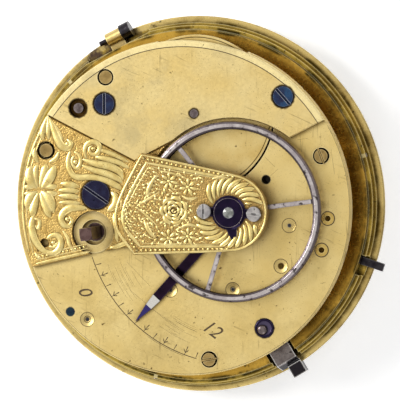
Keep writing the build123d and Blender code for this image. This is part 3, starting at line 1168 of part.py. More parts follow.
def lever():
    """The lever with its fork, guard pin, pallets and arbor; the pallets reach over the escape wheel."""
    to_balance = heading(LEVER_AT, BALANCE_AT)
    to_escape = heading(LEVER_AT, ESCAPE_AT)
    span = distance(LEVER_AT, BALANCE_AT)
    fork_reach = span - IMPULSE_PIN_ORBIT + 0.35
    blade = bar(fork_reach + 1.4, 0.55, LEVER_LOW, LEVER_TOP, LEVER_AT, to_balance, start=-1.4)
    fork = bar(0.9, 1.3, LEVER_LOW, LEVER_TOP, LEVER_AT, to_balance, start=fork_reach - 0.9)
    notch = bar(0.7, 2 * IMPULSE_PIN_RADIUS + 0.08, LEVER_LOW - SLACK, LEVER_TOP + SLACK, LEVER_AT,
                to_balance,
                start=fork_reach - 0.65)
    body = blade + fork - notch
    guard_at = polar(span - ROLLER_RADIUS - 0.3, to_balance, LEVER_AT)
    body += disc(0.12, LEVER_LOW, ROLLER_LOW + ROLLER_THICKNESS, guard_at)
    facing = heading(ESCAPE_AT, LEVER_AT)
    entry = polar(ESCAPE_RADIUS - 0.35, facing + PALLET_HALF_SPAN, ESCAPE_AT)
    leave = polar(ESCAPE_RADIUS - 0.35, facing - PALLET_HALF_SPAN, ESCAPE_AT)
    pallets = slab(polygon(entry, polar(0.6, to_escape + 180, LEVER_AT), leave,
                           polar(0.75, to_escape, LEVER_AT)),
                   PALLET_LOW, PALLET_LOW + PALLET_THICKNESS)
    for end in (entry, leave):
        pallets += bar(1.0, 0.45, PALLET_LOW, PALLET_LOW + PALLET_THICKNESS, end, heading(end, ESCAPE_AT),
                       start=-0.5)
    return body + pallets + arbor(LEVER_AT, 0.3)


def banking_pins():
    return [disc(BANKING_PIN_RADIUS, PILLAR_PLATE_LOW, LEVER_TOP, at) for at in BANKING_PINS_AT]


def balance_wheel():
    rim = ring(BALANCE_RADIUS, BALANCE_RADIUS - BALANCE_RIM_WIDTH, BALANCE_LOW,
               BALANCE_LOW + BALANCE_RIM_HEIGHT,
               BALANCE_AT)
    rim_top = BALANCE_LOW + BALANCE_RIM_HEIGHT
    rounding = BALANCE_ROUNDING
    body = rim
    for edge, side in ((BALANCE_RADIUS, 1), (BALANCE_RADIUS - BALANCE_RIM_WIDTH, -1)):
        corner = (edge + side * 0.05, rim_top + 0.05)
        body -= turned([(edge - side * rounding, corner[1]), corner, (corner[0], rim_top - rounding),
                        (edge, rim_top - rounding), (edge - side * 0.29 * rounding, rim_top - 0.29 * rounding),
                        (edge - side * rounding, rim_top)], BALANCE_AT)
    low = BALANCE_ARM_LOW
    for angle in BALANCE_ARM_ANGLES:
        body += bar(BALANCE_RADIUS - BALANCE_RIM_WIDTH / 2, BALANCE_ARM_WIDTH, low,
                    low + BALANCE_ARM_THICKNESS,
                    BALANCE_AT, angle)
    body += disc(BALANCE_HUB_RADIUS, low, low + BALANCE_ARM_THICKNESS, BALANCE_AT)
    return body - disc(STAFF_RADIUS, BALANCE_LOW - 1, BALANCE_LOW + 2, BALANCE_AT)


def balance_staff():
    """The staff, with the collet of the hairspring and a pivot at each end."""
    low, high = POTENCE_ARM_LOW + 0.1, COCK_TABLE_TOP - 0.05
    shoulder = COCK_TABLE_TOP - COCK_TABLE_THICKNESS - GAP
    collet_low = HAIRSPRING_LOW - 0.05
    profile = [(0, low), (POTENCE_PIVOT_RADIUS, low), (POTENCE_PIVOT_RADIUS, POTENCE_ARM_TOP + GAP),
               (STAFF_RADIUS, POTENCE_ARM_TOP + GAP), (STAFF_RADIUS, collet_low), (COLLET_RADIUS,
                                                                                   collet_low),
               (COLLET_RADIUS, collet_low + 0.4), (STAFF_RADIUS, collet_low + 0.4), (STAFF_RADIUS,
                                                                                     shoulder),
               (PIVOT_RADIUS, shoulder), (PIVOT_RADIUS, high), (0, high)]
    return turned(profile, BALANCE_AT)


def roller():
    """The roller table, with the impulse pin hanging from it just clear of the lever."""
    body = ring(ROLLER_RADIUS, STAFF_RADIUS, ROLLER_LOW, ROLLER_LOW + ROLLER_THICKNESS, BALANCE_AT)
    pin_at = polar(IMPULSE_PIN_ORBIT, heading(BALANCE_AT, LEVER_AT), BALANCE_AT)
    return body + disc(IMPULSE_PIN_RADIUS, LEVER_TOP + GAP, ROLLER_LOW + SLACK, pin_at)


def hairspring():
    """A flat spiral from the collet out to the stud."""
    inner = COLLET_RADIUS + 0.04 + HAIRSPRING_THICKNESS / 2
    return spiral_strip(BALANCE_AT, inner, HAIRSPRING_RADIUS, HAIRSPRING_TURNS, HAIRSPRING_THICKNESS,
                        HAIRSPRING_LOW, HAIRSPRING_LOW + HAIRSPRING_HEIGHT, STUD_ANGLE, -1)


def hairspring_stud():
    """The steel stud pushed into the plate, slotted for the spring's outer end."""
    top = HAIRSPRING_LOW + HAIRSPRING_HEIGHT + 0.1
    post = disc(STUD_RADIUS, TOP_PLATE_LOW, top, STUD_AT)
    slot = ring(HAIRSPRING_RADIUS + HAIRSPRING_THICKNESS, HAIRSPRING_RADIUS - HAIRSPRING_THICKNESS,
                HAIRSPRING_LOW - GAP, top + SLACK, BALANCE_AT)
    return post - slot


def index():
    """The regulator index: a hub round the plate's boss, curb pins for the spring and a long pointed arm."""
    low = TOP_PLATE_TOP + GAP
    high = low + INDEX_THICKNESS
    wide, narrow = INDEX_WIDTH / 2, INDEX_TIP_WIDTH / 2
    shoulder, tip = INDEX_REACH - INDEX_TAPER, INDEX_REACH - INDEX_TIP
    arm_outline = polygon((0, wide), (shoulder, wide), (tip, narrow), (INDEX_REACH, 0),
                          (tip, -narrow), (shoulder, -wide), (0, -wide))
    body = Pos(*BALANCE_AT) * (Rot(0, 0, INDEX_ANGLE) * slab(arm_outline, low, high))
    body += disc(INDEX_HUB_RADIUS, low, high, BALANCE_AT)
    body -= disc(INDEX_BOSS_RADIUS + FIT, low - SLACK, high + SLACK, BALANCE_AT)
    for side in (-1, 1):
        orbit = HAIRSPRING_RADIUS + side * CURB_PIN_ASIDE
        body += disc(CURB_PIN_RADIUS, low, HAIRSPRING_LOW + HAIRSPRING_HEIGHT + 0.05,
                     polar(orbit, INDEX_ANGLE, BALANCE_AT))
    return body


def potence():
    """The bearing of the balance's lower pivot: a foot under the top plate and an arm to the balance axis."""
    foot = disc(1.25, POTENCE_ARM_LOW, TOP_PLATE_LOW, POTENCE_AT)
    toward = heading(POTENCE_AT, BALANCE_AT)
    foot += bar(1.9, 1.7, POTENCE_ARM_LOW, TOP_PLATE_LOW, POTENCE_AT, toward)
    arm = bar(distance(POTENCE_AT, BALANCE_AT), 1.5, POTENCE_ARM_LOW, POTENCE_ARM_TOP, POTENCE_AT, toward)
    body = foot + arm + disc(0.95, POTENCE_ARM_LOW, POTENCE_ARM_TOP, BALANCE_AT)
    body -= disc(POTENCE_PIVOT_RADIUS + FIT, POTENCE_ARM_LOW - SLACK, POTENCE_ARM_TOP + SLACK, BALANCE_AT)
    body -= disc(POTENCE_HOLE_RADIUS, TOP_PLATE_LOW - 0.9, TOP_PLATE_LOW + SLACK, POTENCE_HOLE_AT)
    return body - disc(POTENCE_SCREW_SHANK + FIT, POTENCE_ARM_LOW - SLACK, TOP_PLATE_LOW + SLACK,
                       POTENCE_SCREW_AT)


def potence_screw():
    head = disc(0.6, POTENCE_ARM_LOW - 0.35, POTENCE_ARM_LOW, POTENCE_SCREW_AT)
    shank = disc(POTENCE_SCREW_SHANK, POTENCE_ARM_LOW, TOP_PLATE_LOW + 0.7, POTENCE_SCREW_AT)
    slot = bar(1.4, 0.2, POTENCE_ARM_LOW - 0.45, POTENCE_ARM_LOW - 0.18, POTENCE_SCREW_AT, 0, start=-0.7)
    return head + shank - slot


# Motion work, dial and hands

def cannon_pinion():
    """The cannon pinion on the centre arbor, whose pipe carries the minute hand."""
    leaves = pinion(CANNON_LEAVES, CANNON_MODULE, gap_at(heading(CENTRE, MINUTE_WHEEL_AT), CANNON_LEAVES),
                    CANNON_LOW, CANNON_HIGH, CENTRE)
    pipe = disc(CANNON_RADIUS, MINUTE_HAND_LOW, CANNON_LOW + SLACK)
    return leaves + pipe - disc(CANNON_BORE, MINUTE_HAND_LOW - SLACK, CANNON_HIGH + SLACK)


def minute_wheel():
    """The minute wheel and its pinion on the post of the pillar plate."""
    toward = heading(MINUTE_WHEEL_AT, CENTRE)
    outline = toothed(MINUTE_TEETH, CANNON_MODULE, WHEEL_FORM, tooth_at(toward))
    body = wheel(outline, CANNON_LOW + 0.2, 0.35, MINUTE_WHEEL_AT)
    body += pinion(MINUTE_LEAVES, HOUR_MODULE, gap_at(toward, MINUTE_LEAVES), HOUR_WHEEL_LOW - 0.05,
                   CANNON_LOW + 0.3, MINUTE_WHEEL_AT)
    return body - disc(MINUTE_POST_RADIUS + FIT, MINUTE_POST_LOW - 1, PILLAR_PLATE_LOW, MINUTE_WHEEL_AT)


def hour_wheel():
    """The hour wheel, whose pipe runs on the cannon pinion and carries the hour hand."""
    toward = heading(CENTRE, MINUTE_WHEEL_AT)
    body = wheel(toothed(HOUR_TEETH, HOUR_MODULE, WHEEL_FORM, tooth_at(toward)), HOUR_WHEEL_LOW, 0.3,
                 CENTRE)
    body += disc(HOUR_PIPE_RADIUS, HOUR_HAND_LOW, HOUR_WHEEL_LOW + SLACK)
    return body - disc(CANNON_RADIUS + FIT, HOUR_HAND_LOW - SLACK, HOUR_WHEEL_LOW + 1)


def dial():
    """The domed enamel dial, with a flat rim on the edge and three copper feet."""
    flat = EDGE_BORE_RADIUS - 0.6
    crown = DIAL_RISE
    edges = [ThreePointArc((-flat, 0), (0, -crown), (flat, 0)), Line((flat, 0), (DIAL_RADIUS, 0)),
             Line((DIAL_RADIUS, 0), (DIAL_RADIUS, -DIAL_THICKNESS + 0.25)),
             Line((DIAL_RADIUS, -DIAL_THICKNESS + 0.25), (flat, -DIAL_THICKNESS)),
             ThreePointArc((flat, -DIAL_THICKNESS), (0, -crown - DIAL_THICKNESS), (-flat, -DIAL_THICKNESS)),
             Line((-flat, -DIAL_THICKNESS), (-DIAL_RADIUS, -DIAL_THICKNESS + 0.25)),
             Line((-DIAL_RADIUS, -DIAL_THICKNESS + 0.25), (-DIAL_RADIUS, 0)), Line((-DIAL_RADIUS, 0),
                                                                                   (-flat, 0))]
    half = make_face(edges) & (Pos(DIAL_RADIUS, 0) * Rectangle(2 * DIAL_RADIUS, 20))
    body = revolve(Plane.XZ * half, Axis.Z)
    for angle in DIAL_FEET_ANGLES:
        foot_at = polar(DIAL_FEET_ORBIT, angle)
        body += disc(DIAL_FOOT_RADIUS, dial_back(DIAL_FEET_ORBIT) - 0.3, PILLAR_PLATE_LOW + 0.8, foot_at)
    body -= disc(DIAL_HOLE_RADIUS, -4, 1)
    return body - disc(DIAL_SECONDS_HOLE_RADIUS, -4, 1, FOURTH_AT)


def dial_back(radius):
    """The height of the dial's hollow back at a radius."""
    flat = EDGE_BORE_RADIUS - 0.6
    sphere = (flat ** 2 + DIAL_RISE ** 2) / (2 * DIAL_RISE)
    return -(sqrt(sphere ** 2 - radius ** 2) - (sphere - DIAL_RISE))


def hand(length, tail, boss, eye, width, low, at, angle):
    """A slender hand from its boss to its point, with a round eye near the middle."""
    middle = 0.62 * length
    blade = polygon((-tail, width * 0.4), (middle, width * 0.75), (length, 0.04), (length, -0.04),
                    (middle, -width * 0.75), (-tail, -width * 0.4))
    outline = blade + Pos(middle, 0) * Circle(eye) + Circle(boss)
    return Pos(at[0], at[1], 0) * Rot(0, 0, angle) * slab(outline, low, low + HAND_THICKNESS)


def hour_hand():
    low = HOUR_HAND_LOW
    body = hand(HOUR_HAND_LENGTH, 0, 1.7, 1.0, 0.6, low, CENTRE, HOUR_HAND_ANGLE)
    return body - disc(HOUR_PIPE_RADIUS, low - SLACK, low + 1)


def minute_hand():
    low = MINUTE_HAND_LOW
    body = hand(MINUTE_HAND_LENGTH, 0, 1.25, 0.75, 0.5, low, CENTRE, MINUTE_HAND_ANGLE)
    return body - disc(CANNON_RADIUS, low - SLACK, low + 1)


def seconds_hand():
    body = hand(SECONDS_HAND_LENGTH, 1.3, 0.45, 0.2, 0.2, SECONDS_HAND_LOW, FOURTH_AT, SECONDS_HAND_ANGLE)
    return body - disc(SECONDS_ARBOR_RADIUS, SECONDS_HAND_LOW - SLACK, SECONDS_HAND_LOW + 1, FOURTH_AT)


NODES = {
    "brass_edge": brass_edge, "pillar_plate": pillar_plate, "pillars": pillars, "pillar_pins": pillar_pins,
    "top_plate": top_plate, "name_plate": name_plate, "name_plate_screws": name_plate_screws,
    "balance_cock": balance_cock, "cock_screw": cock_screw, "cap_setting": cap_setting,
    "endstone": endstone,
    "cap_screws": cap_screws, "plate_plugs": plate_plugs, "blued_screw": blued_screw,
    "fusee_bush": fusee_bush,
    "steel_pins": steel_pins, "joint_knuckle": joint_knuckle, "joint_pin": joint_pin, "bolt": bolt,
    "bolt_spring": bolt_spring, "stop_lever": stop_lever, "dial_side_screws": dial_side_screws,
    "barrel_drum": barrel_drum, "barrel_lid": barrel_lid, "barrel_arbor": barrel_arbor,
    "mainspring": mainspring,
    "set_up_ratchet": set_up_ratchet, "set_up_click": set_up_click, "great_wheel": great_wheel,
    "maintaining_ratchet": maintaining_ratchet, "fusee_cone": fusee_cone, "fusee_arbor": fusee_arbor,
    "fusee_chain": fusee_chain, "stop_iron": stop_iron, "maintaining_detent": maintaining_detent,
    "detent_spring": detent_spring, "centre_wheel": centre_wheel, "centre_arbor": centre_arbor,
    "third_wheel": third_wheel, "third_arbor": third_arbor, "fourth_wheel": fourth_wheel,
    "fourth_arbor": fourth_arbor, "escape_wheel": escape_wheel, "lever": lever,
    "banking_pins": banking_pins,
    "balance_wheel": balance_wheel, "balance_staff": balance_staff, "roller": roller,
    "hairspring": hairspring,
    "hairspring_stud": hairspring_stud, "index": index, "potence": potence, "potence_screw": potence_screw,
    "cannon_pinion": cannon_pinion, "minute_wheel": minute_wheel, "hour_wheel": hour_wheel, "dial": dial,
    "hour_hand": hour_hand, "minute_hand": minute_hand, "seconds_hand": seconds_hand,
}

os.makedirs("parts", exist_ok=True)
for node, make in NODES.items():
    made = make()
    solids = made if isinstance(made, list) else [made]
    export_step(Compound(children=[solid for body in solids for solid in body.solids()]),
                f"parts/{node}.step")
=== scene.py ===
import random
from math import atan2, cos, degrees, hypot, pi, radians, sin, sqrt

import bmesh
import bpy
from mathutils import Matrix, Vector


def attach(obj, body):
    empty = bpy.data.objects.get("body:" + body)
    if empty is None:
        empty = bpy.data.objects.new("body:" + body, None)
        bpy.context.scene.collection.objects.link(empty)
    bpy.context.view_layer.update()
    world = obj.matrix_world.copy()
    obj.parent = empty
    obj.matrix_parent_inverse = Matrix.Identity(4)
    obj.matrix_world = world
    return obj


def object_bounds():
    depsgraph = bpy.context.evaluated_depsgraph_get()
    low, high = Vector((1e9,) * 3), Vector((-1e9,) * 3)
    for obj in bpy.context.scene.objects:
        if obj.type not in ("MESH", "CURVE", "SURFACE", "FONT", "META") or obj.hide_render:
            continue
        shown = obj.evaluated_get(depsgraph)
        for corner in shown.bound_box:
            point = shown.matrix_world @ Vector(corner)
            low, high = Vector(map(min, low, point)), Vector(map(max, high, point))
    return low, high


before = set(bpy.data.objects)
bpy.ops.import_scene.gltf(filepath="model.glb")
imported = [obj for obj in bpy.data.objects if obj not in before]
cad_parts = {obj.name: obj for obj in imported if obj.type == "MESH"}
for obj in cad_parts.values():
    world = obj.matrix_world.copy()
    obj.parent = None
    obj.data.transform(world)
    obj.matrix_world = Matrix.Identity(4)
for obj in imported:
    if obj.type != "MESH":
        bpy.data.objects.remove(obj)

CAD_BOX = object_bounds()
MM = 0.001

# The photograph: its size, where the middle of the brass edge lies in it, and how it was looked at
PHOTO_SIZE = (400, 403)
EDGE_MIDDLE_PIXEL = (200.2, 203.6)
PIXELS_PER_MM = 8.16
CAMERA_DISTANCE = 550.0
CAMERA_TILT = 12.2
CAMERA_AZIMUTH = -13.0
PHOTO_UP = 62.0

# Places and levels of the movement, in millimetres, as the solids have them
CENTRE = (0.0, 0.0)
BALANCE = (5.22, -3.17)
FUSEE = (-11.34, 2.52)
BARREL = (6.5, 9.46)
THIRD_WHEEL = (-6.28, -7.98)
SECONDS = (0.61, -11.42)
ESCAPE_WHEEL = (7.18, -11.63)
LEVER = (10.36, -7.78)
DETENT = (-17.12, -6.42)
DETENT_PIN = (-18.55, -4.64)
POTENCE_HOLE = (10.45, -1.6)
COCK_SCREW = (-8.83, 6.39)
STEADY_HOLE = (-17.28, 4.15)
NAME_PLATE_SCREWS = ((-2.74, 15.61), (17.11, 6.19))
NAME_PLATE_PIN = (-5.87, 16.65)
NAME_PLATE_LINE = 19.45
PLUGS = ((14.94, -9.19), (12.49, -12.19))
JOINT = (0.4, 22.6)
SMALL_SCREW = (1.89, -17.32)
TOP_PLATE_TOP = 9.1
FOOT_TOP = 10.0
TABLE_TOP = 12.4
CAP_TOP = 12.8
RIM_RADIUS = 20.2
DIAL_RISE = 1.1
DIAL_FLAT = 19.0
DIAL_EDGE = 21.9
DIAL_THICKNESS = 0.8


# Small helpers for places

def polar(radius, angle, at=(0.0, 0.0)):
    return (at[0] + radius * cos(radians(angle)), at[1] + radius * sin(radians(angle)))


def heading(start, end):
    return degrees(atan2(end[1] - start[1], end[0] - start[0]))


def apart(first, second):
    """The distance between two places."""
    return hypot(second[0] - first[0], second[1] - first[1])


def beside(start, end, along, aside):
    """The point this far along the line from start to end and this far to its left."""
    angle = heading(start, end)
    return polar(aside, angle + 90, polar(along, angle, start))


def camera_axes():
    """The way to the camera, the photograph's right and its up, as directions in the frame."""
    away = Vector((sin(radians(CAMERA_TILT)) * cos(radians(CAMERA_AZIMUTH)),
                   sin(radians(CAMERA_TILT)) * sin(radians(CAMERA_AZIMUTH)), cos(radians(CAMERA_TILT))))
    up = Vector((cos(radians(PHOTO_UP)), sin(radians(PHOTO_UP)), 0))
    up = (up - up.dot(away) * away).normalized()
    return away, up.cross(away), up


AWAY, RIGHT, UP = camera_axes()


def seen_at(pixel, level):
    """The place in millimetres at this level that the photograph shows at a pixel."""
    x = (pixel[0] - EDGE_MIDDLE_PIXEL[0]) / PIXELS_PER_MM
    y = (EDGE_MIDDLE_PIXEL[1] - pixel[1]) / PIXELS_PER_MM
    on_edge = x * RIGHT + y * UP
    eye = CAMERA_DISTANCE * AWAY
    ray = on_edge - eye
    share = (level - eye.z) / ray.z
    place = eye + share * ray
    return (place.x, place.y)


# Camera, floor and light

def placed(name, data):
    """A new object in the scene that holds this data."""
    made = bpy.data.objects.new(name, data)
    bpy.context.scene.collection.objects.link(made)
    return made


def new_material(name):
    """A material and its node tree, still empty."""
    material = bpy.data.materials.new(name)
    material.use_nodes = True
    material.node_tree.nodes.clear()
    return material, material.node_tree


def make_camera():
    data = bpy.data.cameras.new("camera")
    data.sensor_width = 36.0
    data.sensor_fit = "HORIZONTAL"
    data.lens = data.sensor_width * CAMERA_DISTANCE / (PHOTO_SIZE[0] / PIXELS_PER_MM)
    data.clip_start = 0.01
    data.clip_end = 20.0
    camera = placed("camera", data)
    off_x = (PHOTO_SIZE[0] / 2 - EDGE_MIDDLE_PIXEL[0]) / PIXELS_PER_MM
    off_y = (EDGE_MIDDLE_PIXEL[1] - PHOTO_SIZE[1] / 2) / PIXELS_PER_MM
    place = (CAMERA_DISTANCE * AWAY + off_x * RIGHT + off_y * UP) * MM
    turn = Matrix((RIGHT, UP, AWAY)).transposed().to_4x4()
    camera.matrix_world = Matrix.Translation(place) @ turn
    bpy.context.scene.camera = camera


def make_lamp(name, size, power, place, colour=(1, 1, 1)):
    data = bpy.data.lights.new(name, "AREA")
    data.size = size
    data.energy = power
    data.color = colour
    lamp = placed(name, data)
    lamp.location = place
    lamp.rotation_euler = (-Vector(place)).to_track_quat("-Z", "Y").to_euler()


def linear(code):
    """An sRGB hex colour as the linear values that Blender takes."""
    parts = [int(code[i:i + 2], 16) / 255 for i in (1, 3, 5)]
    return tuple(c / 12.92 if c <= 0.04045 else ((c + 0.055) / 1.055) ** 2.4 for c in parts) + (1.0,)


def add(tree, kind, settings=(), links=()):
    """A node with its settings, by input or property name, and the sockets that feed it."""
    node = tree.nodes.new(kind)
    for name, value in dict(settings).items():
        if isinstance(name, int) or name in node.inputs:
            node.inputs[name].default_value = value
        else:
            setattr(node, name, value)
    for name, source in dict(links).items():
        tree.links.new(source, node.inputs[name])
    return node


def make_world():
    world = bpy.data.worlds.new("studio")
    bpy.context.scene.world = world
    world.use_nodes = True
    tree = world.node_tree
    tree.nodes.clear()
    path = add(tree, "ShaderNodeLightPath")
    shown = add(tree, "ShaderNodeMath", {"operation": "MAXIMUM"},
                {0: path.outputs["Is Camera Ray"], 1: path.outputs["Is Transmission Ray"]})
    coords = add(tree, "ShaderNodeTexCoord")
    side = add(tree, "ShaderNodeVectorMath", {"operation": "DOT_PRODUCT", 1: (-0.6, 0.62, 0.5)},
               {0: coords.outputs["Generated"]})
    bright = add(tree, "ShaderNodeMapRange", {"From Min": -0.6, "From Max": 0.9, "To Min": 0.42,
                                              "To Max": 1.0}, {0: side.outputs["Value"]})
    soft = add(tree, "ShaderNodeBackground", {"Color": linear("#f4f6fa"), "Strength": 0.36})
    gloss = add(tree, "ShaderNodeBackground", {"Color": linear("#fffdf8")}, {"Strength": bright.outputs[0]})
    white = add(tree, "ShaderNodeBackground", {"Color": (1, 1, 1, 1), "Strength": 1.0})
    first = add(tree, "ShaderNodeMixShader", {}, {0: path.outputs["Is Glossy Ray"], 1: soft.outputs[0],
                                                  2: gloss.outputs[0]})
    last = add(tree, "ShaderNodeMixShader", {}, {0: shown.outputs[0], 1: first.outputs[0],
                                                 2: white.outputs[0]})
    add(tree, "ShaderNodeOutputWorld", {}, {"Surface": last.outputs[0]})


def make_floor():
    mesh = bpy.data.meshes.new("floor")
    bm = bmesh.new()
    bmesh.ops.create_grid(bm, x_segments=1, y_segments=1, size=1.5)
    bmesh.ops.translate(bm, verts=bm.verts, vec=(0, 0, CAD_BOX[0][2] - 0.05 * MM))
    bm.to_mesh(mesh)
    bm.free()
    floor = placed("floor", mesh)
    material, tree = new_material("floor_paper")
    coords = add(tree, "ShaderNodeTexCoord")
    grain = add(tree, "ShaderNodeTexNoise", {"Scale": 400.0, "Detail": 2.0},
                {"Vector": coords.outputs["Object"]})
    tone = add(tree, "ShaderNodeMix", {"data_type": "RGBA", "A": linear("#fbfbfb"), "B": linear("#ffffff")},
               {0: grain.outputs[0]})
    paper = add(tree, "ShaderNodeBsdfPrincipled", {"Roughness": 0.9, "Specular IOR Level": 0.1},
                {"Base Color": tone.outputs[2]})
    glow = add(tree, "ShaderNodeEmission", {"Color": (1, 1, 1, 1), "Strength": 0.45})
    path = add(tree, "ShaderNodeLightPath")
    looked = add(tree, "ShaderNodeMath", {"operation": "MAXIMUM"},
                 {0: path.outputs["Is Camera Ray"], 1: path.outputs["Is Glossy Ray"]})
    both = add(tree, "ShaderNodeAddShader", {}, {0: paper.outputs[0], 1: glow.outputs[0]})
    out = add(tree, "ShaderNodeMixShader", {}, {0: looked.outputs[0], 1: paper.outputs[0],
                                                2: both.outputs[0]})
    add(tree, "ShaderNodeOutputMaterial", {}, {"Surface": out.outputs[0]})
    mesh.materials.append(material)


bpy.context.scene.view_settings.view_transform = "Standard"
make_camera()
make_world()
make_floor()
make_lamp("key_softbox", 0.2, 1.5, (-0.24, 0.25, 0.3), (1.0, 0.99, 0.96))
make_lamp("side_softbox", 0.3, 0.5, (0.45, 0.1, 0.35), (1.0, 0.98, 0.95))
make_lamp("low_softbox", 0.3, 0.5, (-0.1, -0.5, 0.3), (0.97, 0.98, 1.0))


# Materials. A pattern's size is the size of its marks in millimetres. Real hairlines, dust and grain are
# finer than a pixel here, so they are drawn 0.3, 0.13 and 0.15 to 0.3 mm wide, as coarse as they need to show.

def pattern(tree, coords, size, detail=3.0, stretch=(1, 1, 1), rough=0.5, turned_by=0.0):
    """Noise whose marks are about this many millimetres across."""
    level = add(tree, "ShaderNodeMapping", {"Rotation": (0, 0, turned_by)},
                {"Vector": coords.outputs["Object"]})
    turn = add(tree, "ShaderNodeMapping", {"Scale": stretch}, {"Vector": level.outputs[0]})
    return add(tree, "ShaderNodeTexNoise", {"Scale": 1.0 / (size * MM), "Detail": detail,
                                            "Roughness": rough}, {"Vector": turn.outputs[0]}).outputs[0]


def sharpened(tree, value, low, high, to_low=0.0, to_high=1.0):
    return add(tree, "ShaderNodeMapRange", {"From Min": low, "From Max": high, "To Min": to_low,
                                            "To Max": to_high}, {0: value}).outputs[0]


def mixed(tree, share, first, second):
    """Two colours, given as hex codes or sockets, mixed by a share."""
    node = add(tree, "ShaderNodeMix", {"data_type": "RGBA"}, {0: share})
    for socket, colour in ((6, first), (7, second)):
        if isinstance(colour, str):
            node.inputs[socket].default_value = linear(colour)
        else:
            tree.links.new(colour, node.inputs[socket])
    return node.outputs[2]


def from_axis(tree, coords, at):
    """The distance in metres from an upright axis, which stays with the piece when it moves."""
    flat = add(tree, "ShaderNodeVectorMath", {"operation": "MULTIPLY", 1: (1, 1, 0)},
               {0: coords.outputs["Object"]})
    return add(tree, "ShaderNodeVectorMath", {"operation": "DISTANCE", 1: (at[0] * MM, at[1] * MM, 0)},
               {0: flat.outputs[0]}).outputs["Value"]


